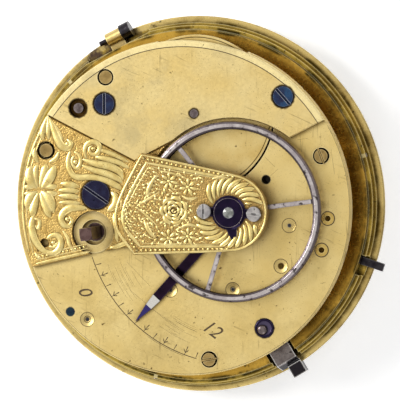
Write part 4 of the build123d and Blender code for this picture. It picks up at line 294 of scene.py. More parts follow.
def metal(name, colour, stain, dirt_and_shade, roughness, spread=0.12, mottle=2.5, grain=0.25, depth=0.0, pits=0.0,
          pit_size=0.55, reach=0.5, crevice=(0.35, 0.95), crevice_shade_share=0.9, scratches=0.0, specks=0.0,
          edge_wear_and_light=None, edge_wear_and_light_share=0.6, edge_wear_and_light_width=0.13, punch=0.0, tarnish=None, patch=7.0, patch_share=0.75,
          zones=(), oil_and_shade_holes=(), metallic=1.0):
    """A worked metal. Its colour is mottled, then tarnished in patches, scratched, pitted and specked,
    darkened with painted shade where faces meet, and given its edge colour on edges, for wear and painted
    highlight, or painted shade where that colour is dark. Zones are (axis, from radius, to radius, colour),
    broken up in patches where a softness is added. Holes given as (axis, radius) are darkened in and round
    them with old oil and painted shade."""
    material, tree = new_material(name)
    coords = add(tree, "ShaderNodeTexCoord")
    fine = pattern(tree, coords, grain, 4.0)
    tone = mixed(tree, sharpened(tree, pattern(tree, coords, mottle), 0.35, 0.75), colour, stain)
    for at, start, end, shade, *patchy in zones:
        away = from_axis(tree, coords, at)
        soft = patchy[0] if patchy else 0.03
        after = sharpened(tree, away, (start - soft) * MM, (start + soft) * MM)
        before = sharpened(tree, away, (end - soft) * MM, (end + soft) * MM, 1.0, 0.0)
        share = add(tree, "ShaderNodeMath", {"operation": "MULTIPLY"}, {0: after, 1: before}).outputs[0]
        if patchy:
            broken = sharpened(tree, pattern(tree, coords, 3.5, 4.0, rough=0.65), 0.42, 0.58)
            share = add(tree, "ShaderNodeMath", {"operation": "MULTIPLY"}, {0: share, 1: broken}).outputs[0]
        tone = mixed(tree, share, tone, shade)
    if tarnish:
        patches = pattern(tree, coords, patch, 5.0, rough=0.65)
        tone = mixed(tree, sharpened(tree, patches, 0.5, 0.66, 0.0, patch_share), tone, tarnish)
    if scratches:
        line = pattern(tree, coords, 0.3, 2.0, (1, 0.06, 1), 0.7, 0.5)
        cross = pattern(tree, coords, 0.3, 2.0, (0.07, 1, 1), 0.7, 0.9)
        marks = add(tree, "ShaderNodeMath", {"operation": "MAXIMUM"}, {0: line, 1: cross}).outputs[0]
        rubbed = sharpened(tree, pattern(tree, coords, 4.0), 0.45, 0.65, 0.0, scratches)
        share = add(tree, "ShaderNodeMath", {"operation": "MULTIPLY"},
                    {0: sharpened(tree, marks, 0.62, 0.74), 1: rubbed}).outputs[0]
        tone = mixed(tree, share, tone, dirt_and_shade)
    if specks:
        dust = pattern(tree, coords, 0.13, 2.0)
        gathered = sharpened(tree, pattern(tree, coords, 3.0), 0.4, 0.65, 0.35 * specks, specks)
        share = add(tree, "ShaderNodeMath", {"operation": "MULTIPLY"},
                    {0: sharpened(tree, dust, 0.64, 0.71), 1: gathered}).outputs[0]
        tone = mixed(tree, share, tone, dirt_and_shade)
    if pits:
        spots = pattern(tree, coords, pit_size, 3.0)
        tone = mixed(tree, sharpened(tree, spots, 0.72 - 0.08 * pits, 0.8 - 0.08 * pits, 0.0, 0.85), tone,
                     dirt_and_shade)
    relief = fine
    if punch:
        dots = add(tree, "ShaderNodeTexVoronoi", {"Scale": 1.0 / (punch * MM)},
                   {"Vector": coords.outputs["Object"]})
        dimple = sharpened(tree, dots.outputs["Distance"], 0.15, 0.6, 0.0, 1.0)
        # Each punch mark darkened towards its middle with dirt and painted shade
        tone = mixed(tree, sharpened(tree, dimple, 0.0, 0.7, 0.55, 0.0), tone, dirt_and_shade)
        relief = dimple
    # Painted shade: darkened towards the dark colour where ambient occlusion finds faces close by, in corners,
    # crevices and recesses, and a little rougher there
    corners = add(tree, "ShaderNodeAmbientOcclusion", {"samples": 6, "Distance": reach * MM})
    crevice_shade = sharpened(tree, corners.outputs["AO"], crevice[0], crevice[1], crevice_shade_share, 0.0)
    tone = mixed(tree, crevice_shade, tone, dirt_and_shade)
    # Edges given the edge colour for wear and painted highlight; a dark edge colour, as on the balance, is
    # painted shade
    if edge_wear_and_light:
        edges = add(tree, "ShaderNodeAmbientOcclusion", {"samples": 6, "Distance": edge_wear_and_light_width * MM,
                                                         "inside": True, "only_local": True})
        tone = mixed(tree, sharpened(tree, edges.outputs["AO"], 0.55, 0.9, edge_wear_and_light_share, 0.0), tone, edge_wear_and_light)
    # Holes darkened in and round them with old oil and painted shade
    for at, radius in oil_and_shade_holes:
        away = from_axis(tree, coords, at)
        uneven = min(0.24, 0.3 * radius)
        ragged = add(tree, "ShaderNodeMath", {"operation": "MULTIPLY_ADD", 1: uneven * MM,
                                              2: -uneven / 2 * MM}, {0: fine})
        away = add(tree, "ShaderNodeMath", {"operation": "ADD"}, {0: away, 1: ragged.outputs[0]}).outputs[0]
        fade = sharpened(tree, away, radius * MM, (radius + min(0.15, radius / 3)) * MM, 0.95, 0.0)
        tone = mixed(tree, fade, tone, dirt_and_shade)
    gloss = add(tree, "ShaderNodeMath", {"operation": "ADD"},
                {0: sharpened(tree, fine, 0.3, 0.7, roughness - spread / 2, roughness + spread / 2),
                 1: sharpened(tree, crevice_shade, 0.0, 1.0, 0.0, 0.2)}).outputs[0]
    shader = add(tree, "ShaderNodeBsdfPrincipled", {"Metallic": metallic},
                 {"Base Color": tone, "Roughness": gloss})
    if depth:
        bump = add(tree, "ShaderNodeBump", {"Strength": 0.6, "Distance": depth * MM}, {"Height": relief})
        tree.links.new(bump.outputs[0], shader.inputs["Normal"])
    add(tree, "ShaderNodeOutputMaterial", {}, {"Surface": shader.outputs[0]})
    return material


# Fire-gilt brass: pale gold, soft in gloss from the gilding, with grey and yellow stains and hairlines, and
# its holes darkened in and round them with old oil and painted shade
gilt = metal("fire_gilt_brass", "#e0c98a", "#d3b873", "#4a3210", 0.36, mottle=5.0, grain=0.3, depth=0.004,
             pits=0.35, reach=0.6, scratches=0.5, specks=0.8, edge_wear_and_light="#f8e9b8", tarnish="#c6ae70",
             patch_share=0.7, oil_and_shade_holes=((SMALL_SCREW, 1.18), (POTENCE_HOLE, 0.5), (DETENT_PIN, 0.5),
                                     (NAME_PLATE_PIN, 1.1), (ESCAPE_WHEEL, 0.34), (LEVER, 0.16),
                                     (SECONDS, 0.18), (DETENT, 0.24), (THIRD_WHEEL, 0.2)))
# The name plate: the same gilding, with the border outside its engraved line painted a lighter gold, and its
# holes and screws darkened round them with old oil and painted shade
name_gilt = metal("fire_gilt_name_plate", "#e2cc90", "#dcc07a", "#2f1f0a", 0.35, mottle=5.0, grain=0.3,
                  depth=0.004, pits=0.35, reach=0.6, scratches=0.5, specks=0.85, edge_wear_and_light="#fbeec2",
                  tarnish="#c8b684", patch_share=0.8, zones=((CENTRE, NAME_PLATE_LINE, 21.0, "#f2dfa4"),),
                  oil_and_shade_holes=((NAME_PLATE_SCREWS[0], 1.4), (NAME_PLATE_SCREWS[1], 1.4), (NAME_PLATE_PIN, 1.16),
                         (BARREL, 0.62)))
# The pillar plate, shut away behind the top plate: gilding darkened to amber and brown by old oil and by
# painted shade from the top plate over it, and near black at its edge as dirt and painted shade in the channel
# there
shaded_gilt = metal("oil_stained_and_shaded_gilding", "#cda446", "#a9822f", "#33250c", 0.24, mottle=3.5, grain=0.3,
                    depth=0.004, pits=0.7, pit_size=0.9, reach=1.2, crevice=(0.25, 0.9),
                    tarnish="#7d6126", edge_wear_and_light="#e2c87e", zones=((CENTRE, 21.05, 21.5, "#2a2610", 0.12),))
# The edge ring, gilt and handled: pale on the polished flange, olive brown inside it, near black in the
# channel at its foot and in its steps with dirt and painted shade, and tarnished brown by the joint
edge_gilt = metal("worn_gilt_edge", "#dcbb58", "#b89c42", "#2b240c", 0.25, mottle=3.0, grain=0.3,
                  depth=0.003, pits=0.8, pit_size=0.7, reach=0.7, tarnish="#86692a", edge_wear_and_light="#f7e8b0",
                  zones=((CENTRE, 22.2, 24.0, "#dcc27c"), (CENTRE, 22.1, 22.45, "#6f5c22", 0.15),
                         (CENTRE, 21.3, 21.75, "#2b270f", 0.1), (JOINT, 0.0, 5.6, "#55443a", 1.2)))
# Turned brass of the joint and the winding bush, gilt and rubbed clean
rubbed_brass = metal("rubbed_gilt_brass", "#dcc68c", "#cbb06c", "#4e3613", 0.32, mottle=2.0, grain=0.25,
                     depth=0.003, pits=0.4, reach=0.8, specks=0.4, edge_wear_and_light="#f6e6b0")
# Chased and gilt ornament: bright pale gold on the ridges, browned with painted shade where the tool cut in
# between them
chased = metal("chased_gilt_brass", "#ecd892", "#d2b56a", "#553b14", 0.31, mottle=0.9, grain=0.15,
               depth=0.012, pits=0.4, reach=0.4, crevice=(0.35, 1.0), edge_wear_and_light="#f6e4ab", edge_wear_and_light_share=0.25,
               specks=0.8)
# The ground between the ridges, punched all over to a coarse mat, browner on the table, each punch mark
# darkened in its middle with dirt and painted shade. The punch marks are drawn 0.2 mm apart, twice as far as
# real ones, so that they show. The cut-out round the cock screw and the steady hole are darkened with painted
# shade
matted = metal("punch_matted_gilding", "#cdae69", "#ab8a4a", "#453010", 0.4, mottle=0.9, grain=0.16,
               depth=0.05, pits=0.8, reach=0.6, crevice=(0.4, 1.0), punch=0.2,
               zones=((BALANCE, 0.0, 13.2, "#ae9056"),), oil_and_shade_holes=((COCK_SCREW, 1.9), (STEADY_HOLE, 0.5)))
# Rolled brass of the wheels and plugs, a little dull, the holes in the plugs and the escape wheel darkened
# with old oil and painted shade
brass = metal("rolled_brass", "#d6b96c", "#bf9d52", "#46320f", 0.32, mottle=3.0, grain=0.25, depth=0.003,
              pits=0.3, reach=0.4, specks=0.3, edge_wear_and_light="#efdc9c", oil_and_shade_holes=((PLUGS[0], 0.24), (PLUGS[1], 0.26),
                                                                      (ESCAPE_WHEEL, 0.3)))
# The barrel's lid, with the turned groove near its edge where dirt has settled
lid_brass = metal("turned_barrel_brass", "#dfc88a", "#ccae68", "#3b2a0e", 0.33, mottle=3.0, grain=0.25,
                  depth=0.003, pits=0.4, reach=0.5, specks=0.5, scratches=0.3, edge_wear_and_light="#f3e2ac",
                  zones=((BARREL, 9.1, 9.2, "#3f2f14"),))
# Pillar ends, filed flat and gone brown
pillar_brass = metal("browned_pillar_brass", "#a58b58", "#7d673d", "#2c1f0b", 0.38, mottle=0.8, grain=0.2,
                     depth=0.02, pits=0.8, pit_size=0.35, reach=0.3, edge_wear_and_light="#d8c692", edge_wear_and_light_share=0.4)
# Soft steel of the balance: polished grey, with painted shade on its rounded edges and in rings over the
# inner and outer bevels of its rim, and a few deep pits of rust
balance_steel = metal("pitted_balance_steel", "#c6bfbf", "#9b9194", "#231b1d", 0.34, mottle=1.2,
                      grain=0.25, depth=0.004, pits=1.5, pit_size=0.6, reach=0.3, scratches=0.25,
                      specks=0.4, edge_wear_and_light="#6c6267", edge_wear_and_light_share=0.6, edge_wear_and_light_width=0.2, spread=0.2,
                      zones=((BALANCE, 9.8, 10.2, "#4d4549"), (BALANCE, 10.6, 11.0, "#6b6266")))
# Polished steel of screws and pins
steel = metal("polished_steel", "#bdb9b8", "#8d898c", "#1f1918", 0.2, mottle=0.8, grain=0.2, pits=0.7,
              reach=0.3, edge_wear_and_light="#e9e7e6", edge_wear_and_light_share=0.5)
# Pins and pivots that run in oil or have browned in their holes: dark, with a dull shine
oiled_steel = metal("oiled_pivot_steel", "#7d7272", "#4a3f40", "#120d0b", 0.3, mottle=0.5, grain=0.15,
                    reach=0.3, edge_wear_and_light="#a39a98", edge_wear_and_light_share=0.4)
# Steel blued over a flame: deep blue with violet patches, and slot edges lightened for wear and painted
# highlight
blued = metal("flame_blued_steel", "#2f3049", "#251f33", "#07070d", 0.25, mottle=0.8, grain=0.2, pits=0.6,
              reach=0.25, crevice_shade_share=0.95, specks=0.6, edge_wear_and_light="#b4b6c0", edge_wear_and_light_share=0.8, edge_wear_and_light_width=0.1)
# A screw blued to a lighter colour, mottled towards bare steel
pale_blued = metal("light_blued_steel", "#313d5c", "#2d2a40", "#0a0b12", 0.25, mottle=0.8, grain=0.2,
                   pits=0.6, reach=0.25, crevice_shade_share=0.95, specks=0.5, edge_wear_and_light="#c6c8cf", edge_wear_and_light_share=0.8,
                   edge_wear_and_light_width=0.1, zones=((NAME_PLATE_SCREWS[1], 0.0, 1.4, "#35597f", 0.3),))
# The cap over the balance pivot, taken past blue to dark violet
violet_steel = metal("violet_blued_steel", "#251c34", "#181626", "#0a070d", 0.2, mottle=1.0, grain=0.2,
                     reach=0.25, edge_wear_and_light="#6d6480", edge_wear_and_light_share=0.5, specks=0.4)
# The pin of the detent's spring, blued and gone green
green_steel = metal("greened_pin_steel", "#2a4148", "#232a3c", "#0a0c10", 0.3, mottle=0.5, grain=0.15,
                    reach=0.3)
# The index: dark violet arm, a bare polished facet, then a blued tip
index_steel = metal("blued_index_steel", "#2a1b2e", "#171018", "#080509", 0.24, mottle=1.3, grain=0.2,
                    crevice_shade_share=0.5, edge_wear_and_light="#5a4a66", edge_wear_and_light_share=0.4,
                    zones=((BALANCE, 14.1, 14.22, "#0a070a"), (BALANCE, 14.22, 15.7, "#d8d6d2"),
                           (BALANCE, 15.7, 19.0, "#3c3670")))
# Browned and greasy steel of the stop lever and the joint pin, also on the arbors, whose pivot ends darken the
# middles of the sinks as old oil and painted shade
dark_steel = metal("browned_steel", "#3c3a3e", "#201c22", "#0b090a", 0.28, mottle=0.7, grain=0.2, pits=0.6,
                   reach=0.4, edge_wear_and_light="#7d7a7c", edge_wear_and_light_share=0.5)
# The winding square: steel rubbed by keys, brown where it isn't
square_steel = metal("key_worn_brown_steel", "#6b5552", "#4a3634", "#140c08", 0.32, mottle=0.8, grain=0.2,
                     pits=0.6, reach=0.5, edge_wear_and_light="#8d7b78", edge_wear_and_light_share=0.5)
# The case bolt: a bright block with dark rust spots, its edges lightened for wear and painted highlight, and
# its thumb-piece blackened
bolt_steel = metal("rust_spotted_bolt_steel", "#837b79", "#5c5352", "#1d1614", 0.25, mottle=0.9, grain=0.2,
                   pits=1.0, pit_size=0.5, reach=0.4, edge_wear_and_light="#f6f4f2", edge_wear_and_light_share=0.85, edge_wear_and_light_width=0.16,
                   zones=((CENTRE, 22.25, 26.0, "#2b282c"),))
# Tempered spring steel, straw grey
spring_steel = metal("tempered_spring_steel", "#8d8791", "#6a6577", "#1c171a", 0.26, mottle=1.5,
                     grain=0.2, reach=0.2)
# Old blacking in engraved strokes
wax = metal("blackened_engraving", "#54401f", "#332510", "#1a1208", 0.6, mottle=0.6, grain=0.15,
            metallic=0.0, reach=0.2)
# Dark brown like hardened grease, given to the potence as painted shade where it lies deep below its hole in
# the plate
potence_shade_brown = metal("potence_painted_shade_brown", "#3b2a10", "#241807", "#0c0802", 0.45, mottle=0.5, grain=0.15,
               metallic=0.0, reach=0.2)


def enamel_white():
    """Vitreous enamel: white with a faint warm mottle, under a clear wet gloss."""
    material, tree = new_material("fired_white_enamel")
    coords = add(tree, "ShaderNodeTexCoord")
    tone = mixed(tree, sharpened(tree, pattern(tree, coords, 5.0), 0.3, 0.7), "#efece2", "#e7e3d6")
    specks = sharpened(tree, pattern(tree, coords, 0.4), 0.76, 0.8, 0.0, 0.5)
    tone = mixed(tree, specks, tone, "#8c8474")
    wave = pattern(tree, coords, 2.0)
    wave = add(tree, "ShaderNodeBump", {"Strength": 0.15, "Distance": 0.01 * MM}, {"Height": wave})
    shader = add(tree, "ShaderNodeBsdfPrincipled", {"Roughness": 0.12, "IOR": 1.55, "Coat Weight": 0.4},
                 {"Base Color": tone, "Normal": wave.outputs[0]})
    add(tree, "ShaderNodeOutputMaterial", {}, {"Surface": shader.outputs[0]})
    return material


def jewel():
    """A pale rose-cut stone: clear, wet-bright, a little cloudy inside."""
    material, tree = new_material("pale_rock_crystal")
    coords = add(tree, "ShaderNodeTexCoord")
    tone = mixed(tree, sharpened(tree, pattern(tree, coords, 0.4), 0.4, 0.65), "#a2a49d", "#636a62")
    shader = add(tree, "ShaderNodeBsdfPrincipled", {"Roughness": 0.08, "IOR": 1.77,
                                                    "Transmission Weight": 0.25, "Metallic": 0.0},
                 {"Base Color": tone})
    add(tree, "ShaderNodeOutputMaterial", {}, {"Surface": shader.outputs[0]})
    return material


enamel = enamel_white()
crystal = jewel()
# Black ceramic paint of the dial's figures, fired on: nearly black with a low gloss
dial_black = metal("fired_black_paint", "#17151a", "#221f25", "#050505", 0.3, mottle=1.5, metallic=0.0,
                   reach=0.1)

NODE_MATERIALS = {
    gilt: ("top_plate",),
    name_gilt: ("name_plate",),
    shaded_gilt: ("pillar_plate",),
    edge_gilt: ("brass_edge",),
    rubbed_brass: ("joint_knuckle", "fusee_bush"),
    matted: ("balance_cock",),
    lid_brass: ("barrel_lid",),
    pillar_brass: ("pillars", "pillar_pins"),
    brass: ("plate_plugs", "barrel_drum", "great_wheel", "fusee_cone", "centre_wheel", "third_wheel",
            "fourth_wheel", "escape_wheel", "minute_wheel", "hour_wheel"),
    balance_steel: ("balance_wheel",),
    steel: ("cap_screws", "balance_staff", "banking_pins", "roller",
            "hairspring_stud", "cannon_pinion", "maintaining_ratchet", "set_up_ratchet", "set_up_click",
            "stop_iron", "potence_screw", "dial_side_screws"),
    oiled_steel: ("steel_pins", "barrel_arbor"),
    green_steel: ("detent_spring",),
    potence_shade_brown: ("potence",),
    square_steel: ("fusee_arbor",),
    blued: ("cock_screw", "blued_screw", "hour_hand", "minute_hand", "seconds_hand"),
    pale_blued: ("name_plate_screws",),
    violet_steel: ("cap_setting",),
    index_steel: ("index",),
    dark_steel: ("stop_lever", "joint_pin", "third_arbor", "fourth_arbor", "centre_arbor", "lever",
                 "maintaining_detent"),
    bolt_steel: ("bolt",),
    spring_steel: ("hairspring", "mainspring", "bolt_spring", "fusee_chain"),
    crystal: ("endstone",),
    enamel: ("dial",),
}
for material, names in NODE_MATERIALS.items():
    for name in names:
        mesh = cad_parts[name].data
        mesh.materials.clear()
        mesh.materials.append(material)


# Making pieces

def piece(name, mesh, body, material):
    """A finished mesh, in millimetres, as a piece of the movement in metres."""
    mesh.transform(Matrix.Scale(MM, 4))
    mesh.materials.clear()
    mesh.materials.append(material)
    made = placed(name, mesh)
    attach(made, body)
    return made


def mesh_of(bm, name, smooth=True):
    bmesh.ops.recalc_face_normals(bm, faces=bm.faces)
    mesh = bpy.data.meshes.new(name)
    bm.to_mesh(mesh)
    bm.free()
    for face in mesh.polygons:
        face.use_smooth = smooth
    return mesh


def mesh_of_curve(curve):
    """The curve's shape as a mesh, with the curve itself taken away again."""
    holder = placed(curve.name, curve)
    bpy.context.view_layer.update()
    solid = holder.evaluated_get(bpy.context.evaluated_depsgraph_get())
    mesh = bpy.data.meshes.new_from_object(solid)
    bpy.data.objects.remove(holder)
    bpy.data.curves.remove(curve)
    return mesh


def spun(bm, profile, segments, at, level=0.0):
    """The profile spun right round an upright axis and moved to its place."""
    bmesh.ops.spin(bm, geom=profile, cent=(0, 0, 0), axis=(0, 0, 1), angle=2 * pi, steps=segments,
                   use_merge=True)
    bmesh.ops.remove_doubles(bm, verts=bm.verts, dist=1e-5)
    bmesh.ops.translate(bm, verts=bm.verts, vec=(at[0], at[1], level))


def rounded(run):
    """The run with a point past each end, so that the ridge ends in a round nose."""
    ends = []
    for (x, y, half), near in ((run[0], run[1]), (run[-1], run[-2])):
        along = heading(near, (x, y))
        ends.append(polar(half * 0.7, along, (x, y)) + (0.01,))
    return [ends[0]] + list(run) + [ends[1]]


def ridges(name, runs, level, flatten, sides=3):
    """Rounded ridges at a level, along smooth runs of (x, y, half width), flattened by a share."""
    curve = bpy.data.curves.new(name, "CURVE")
    curve.dimensions = "3D"
    curve.bevel_depth = 1.0
    curve.bevel_resolution = sides
    curve.resolution_u = 6
    curve.use_fill_caps = True
    curve.twist_mode = "Z_UP"
    for run in [rounded(run) for run in runs]:
        spline = curve.splines.new("NURBS")
        spline.points.add(len(run) - 1)
        for point, (x, y, half) in zip(spline.points, run):
            point.co = (x, y, 0.0, 1.0)
            point.radius = half
        spline.order_u = 3
        spline.use_endpoint_u = True
    mesh = mesh_of_curve(curve)
    mesh.transform(Matrix.Translation((0, 0, level)) @ Matrix.Diagonal((1, 1, flatten, 1)))
    for face in mesh.polygons:
        face.use_smooth = True
    return mesh


def joined(name, meshes, smooth=True):
    bm = bmesh.new()
    for mesh in meshes:
        bm.from_mesh(mesh)
        bpy.data.meshes.remove(mesh)
    return mesh_of(bm, name, smooth)


def from_photo(run, level):
    """A run of (pixel x, pixel y, half width) laid on a level."""
    return [seen_at((x, y), level) + (half,) for x, y, half in run]


def beads(name, places, level, radius, rise):
    """Small domed beads at places on a level."""
    bm = bmesh.new()
    for x, y in places:
        new = bmesh.ops.create_uvsphere(bm, u_segments=10, v_segments=6, radius=radius)["verts"]
        bmesh.ops.scale(bm, verts=new, vec=(1, 1, rise / radius))
        bmesh.ops.translate(bm, verts=new, vec=(x, y, level))
    return mesh_of(bm, name)


def petals(at, count, inner, outer, half, turn):
    """Runs of a flower's petals: plump leaves from near the middle to their tips."""
    runs = []
    for k in range(count):
        angle = turn + 360.0 * k / count
        runs.append([polar(inner + (outer - inner) * share, angle, at) + (half * width,)
                     for share, width in ((0.0, 0.25), (0.35, 0.9), (0.75, 1.0), (1.0, 0.3))])
    return runs


def crescents(at, count, radius, half, turn):
    """Runs of a rose's petals seen from above: crescents lapping round the heart."""
    runs = []
    for k in range(count):
        angle = turn + 360.0 * k / count
        span = 200.0 / count
        runs.append([polar(radius * out, angle + span * along, at) + (half * width,)
                     for out, along, width in ((0.86, -1, 0.4), (1.02, -0.5, 1.0), (1.06, 0.25, 0.95),
                                               (0.9, 1, 0.3))])
    return runs


# The chased foot of the balance cock. Runs are in pixels of the photograph with half widths in millimetres.

FOOT_PLUMES = (
    ((47.5, 116, .1), (45, 124, .35), (42.5, 132, .45), (42.5, 138.5, .25)),
    ((48, 116, .1), (48.7, 124, .3), (48.3, 131, .34), (48.3, 138, .2)),
    ((48.5, 117, .1), (52.5, 125, .32), (55, 133, .42), (58.5, 141.5, .5), (63, 147.5, .46),
     (69, 148.2, .36), (72, 143.5, .3), (68, 140, .18)),
    ((54.5, 124, .08), (58.5, 131, .16), (61.5, 138, .24), (61, 142, .16)),
    ((35, 148, .14), (33.8, 155, .34), (37.5, 161.5, .22)),
    ((58.5, 152, .14), (57, 158, .28), (50, 161.8, .16)),
)
FOOT_FLOWER = (
    ((39.6, 187, .12), (42.2, 178, .38), (45.2, 169, .52), (45.8, 165.5, .3)),
    ((37.6, 187, .12), (35.6, 178, .3), (35.4, 170, .34), (36.8, 165.5, .2)),
    ((42, 187.5, .2), (48, 181, .62), (52.3, 173, .62), (54, 167, .32)),
    ((36, 187.5, .2), (30.5, 182, .6), (29, 174.5, .6), (31, 167.5, .36)),
    ((42, 192, .2), (48.2, 196.5, .6), (51.8, 204, .56), (53, 211, .32)),
    ((36, 192, .2), (30, 196.5, .58), (27.8, 203, .5), (27.2, 208.5, .28)),
    ((40.4, 193, .12), (43.6, 202, .44), (47.8, 211.5, .5), (49.8, 216, .28)),
    ((38, 193, .12), (35.2, 202, .46), (32.8, 211, .52), (32.4, 215.5, .3)),
    ((44.5, 187.6, .1), (50, 186.6, .36), (55.4, 186.5, .28)),
    ((44.5, 192.4, .1), (50, 193.4, .36), (55.6, 193.6, .28)),
    ((33.5, 187.6, .1), (28.5, 186.8, .34), (24.5, 187, .2)),
    ((33.5, 192.4, .1), (28.5, 193.6, .32), (25, 193.8, .2)),
)
FOOT_SCROLLS = (
    ((70, 151.5, .16), (67.7, 160, .28), (68.6, 168.5, .34), (73, 176, .36), (80, 177.8, .38),
     (90, 176.6, .36), (103, 178.9, .34), (113, 183.5, .42), (122, 189, .3)),
    ((75, 152, .14), (80.3, 156, .24), (81, 163, .26), (77.2, 169, .24), (72.6, 166, .18), (71.6, 159, .16),
     (74.6, 155.8, .12)),
    ((82.5, 165.5, .18), (95, 170.6, .36), (108, 173.6, .42), (118, 178.6, .38), (123, 182.5, .18)),
    ((83.5, 159.5, .18), (95, 163.6, .42), (108, 165.6, .46), (118, 169.8, .44), (122.6, 175, .34),
     (123, 179, .18)),
    ((97, 157, .24), (108, 159, .34), (120, 162.8, .32), (129, 168, .16)),
    ((100, 149.8, .2), (108, 152.2, .26), (118, 156.6, .26), (128, 161.8, .14)),
    ((86, 158, .14), (84, 150, .24), (86.6, 143.6, .28), (93, 140.9, .3), (99, 144, .3), (100, 150, .3),
     (95.6, 155, .26), (90, 153.4, .2), (89, 148.4, .16), (92, 145.6, .12)),
    ((62, 183.6, .26), (70, 184.4, .46), (78, 186.4, .22)),
    ((60, 190.2, .22), (69, 189.8, .36), (77.5, 191, .26)),
    ((60, 195.8, .22), (69, 196, .38), (77.5, 197, .28)),
    ((60.5, 202.4, .2), (69, 202.2, .3), (79, 203.2, .2)),
    ((86, 208.6, .24), (78, 207.2, .4), (69, 207.8, .48), (62.6, 212.8, .44), (60.6, 219.6, .4),
     (64, 225.8, .34), (69.4, 226, .28), (72.6, 221.6, .24), (69.6, 217.4, .16)),
    ((33, 216.8, .28), (31.4, 224, .42), (32, 232, .48), (35.8, 241.8, .42), (42.6, 250.8, .32),
     (52, 254, .32), (59.6, 249.6, .4), (61.8, 241, .38), (57.4, 234.4, .34), (50.6, 235.4, .24),
     (47.6, 238.6, .12)),
    ((57.6, 242.8, .2), (54.6, 247.6, .22), (50, 246.4, .14)),
    ((34.4, 219, .12), (38.6, 219, .2), (40, 224, .24), (38, 229.4, .2), (35.8, 226, .1)),
    ((35.4, 253, .12), (38, 257.2, .26), (41.4, 258.8, .1)),
    ((63, 231, .1), (68, 238, .24), (70, 247, .26), (75, 250.4, .16)),
    ((112.4, 193, .28), (116.6, 197, .46), (115.4, 205, .46), (108.6, 210.6, .3)),
    ((120.6, 195, .1), (121.8, 202, .2), (121.2, 208.6, .1)),
    ((114.4, 214.4, .28), (115.6, 226, .34), (117.4, 240, .28)),
    ((123.4, 214.4, .14), (124.4, 227, .18), (127, 239.4, .14)),
    ((111.6, 247.4, .22), (119, 245.6, .28), (127.4, 242.6, .24)),
)
FOOT_BALLS = ((67.6, 143.8), (93.6, 149), (67.4, 219.2), (53.4, 242.8), (75.6, 162))
LOWER_EDGE = ((-20.07, 2.29), (-8.65, -0.72))


def foot_carving():
    level = FOOT_TOP
    parts = []
    for name, runs, flatten in (("foot_plumes", FOOT_PLUMES, 0.38), ("foot_flower", FOOT_FLOWER, 0.3),
                                ("foot_scrolls", FOOT_SCROLLS, 0.36)):
        broad = [[(x, y, half * 1.14) for x, y, half in run] for run in runs]
        parts.append(ridges(name, [from_photo(run, level) for run in broad], level, flatten))
    outer, inner = LOWER_EDGE
    edges = []
    for inset, half in ((0.3, 0.22), (0.72, 0.07), (1.28, 0.08)):
        start, end = (tuple(beside(outer, inner, along, inset)) for along in (0.75, 7.4))
        edges.append([start + (half,), end + (half,)])
    edges.append([polar(RIM_RADIUS - 0.3, angle) + (0.16,) for angle in range(120, 173, 6)])
    edges.append([polar(RIM_RADIUS - 0.75, angle) + (0.07,) for angle in range(122, 171, 6)])
    parts.append(ridges("foot_edges", edges, level, 0.5))
    ribbon = [beside(outer, inner, 1.2 + 0.52 * k, 1.0) for k in range(12)]
    balls = [seen_at(pixel, level) for pixel in FOOT_BALLS]
    parts.append(beads("foot_ribbon", ribbon, level, 0.17, 0.1))
    parts.append(beads("foot_balls", balls, level, 0.34, 0.2))
    return joined("cock_foot_carving", parts)


# The chased table of the cock: a plain edge, a row of beads, a panel of foliage and a gadrooned end

TABLE_TOP_CORNER = (-1.03, 8.08)
TABLE_LOW_CORNER = (-7.6, -2.26)
TABLE_LEFT = (-6.44, 2.9)
TABLE_END_RADIUS = 4.65
# The place towards which the outline is moved in, and how much further its corners go
TABLE_INSIDE = (BALANCE[0] * 0.35 - 2.4, BALANCE[1] * 0.35 + 1.6)
CORNER_INSET = 1.35
ROSETTE_PIXEL = (174.0, 210.5)
# The rose's petals, ring by ring: how many, at what radius, half width, turn and rise
ROSE_RINGS = ((7, 1.5, 0.34, 0.0, 0.0), (6, 1.02, 0.28, 24.0, 0.06), (5, 0.6, 0.22, 50.0, 0.12))
FAN_PIXELS = ((169, 181), (188, 187), (168.5, 238), (188, 236.5))
GADROONS = 24
GADROON_STEP = 13.5
GADROON_START = 122.0
CAP_SCREWS = (polar(3.04, -30.4, BALANCE), polar(3.04, 149.6, BALANCE))
CAP_SCREW_ROOM = 1.05
# The small leaves: how many places are tried, and how far they keep from each other, a flower and the rose
LEAF_TRIES = 6000
LEAF_ROOM = 0.42
FLOWER_ROOM = 1.0
ROSE_ROOM = 1.75
TABLE_LEAVES = (
    ((146.5, 197, .1), (149, 187, .4), (156.5, 174.5, .08)),
    ((144, 220, .1), (148, 230, .38), (156, 239, .08)),
    ((136.5, 206.3, .06), (147, 199.5, .2), (160, 191.5, .08)),
    ((136.5, 207.5, .06), (146, 214.5, .2), (157, 226, .08)),
    ((160, 171, .08), (170, 172.5, .18), (182, 176.5, .08)),
    ((156, 243.6, .08), (168, 244.8, .18), (182, 243.4, .08)),
    ((182, 196, .08), (189, 199.5, .28), (197, 197.5, .1)),
    ((181, 227, .08), (189, 224, .28), (197, 226.5, .1)),
)


def toward(first, second, distance):
    """The place this far from the first place on the way to the second."""
    span = apart(first, second)
    return tuple(a + (b - a) * distance / span for a, b in zip(first, second))


def tangent(start, side):
    """Where a line from a corner of the table meets its round end, on one side or the other."""
    span = apart(start, BALANCE)
    swing = degrees(atan2(sqrt(span ** 2 - TABLE_END_RADIUS ** 2), TABLE_END_RADIUS))
    return polar(TABLE_END_RADIUS, heading(BALANCE, start) + side * swing, BALANCE)


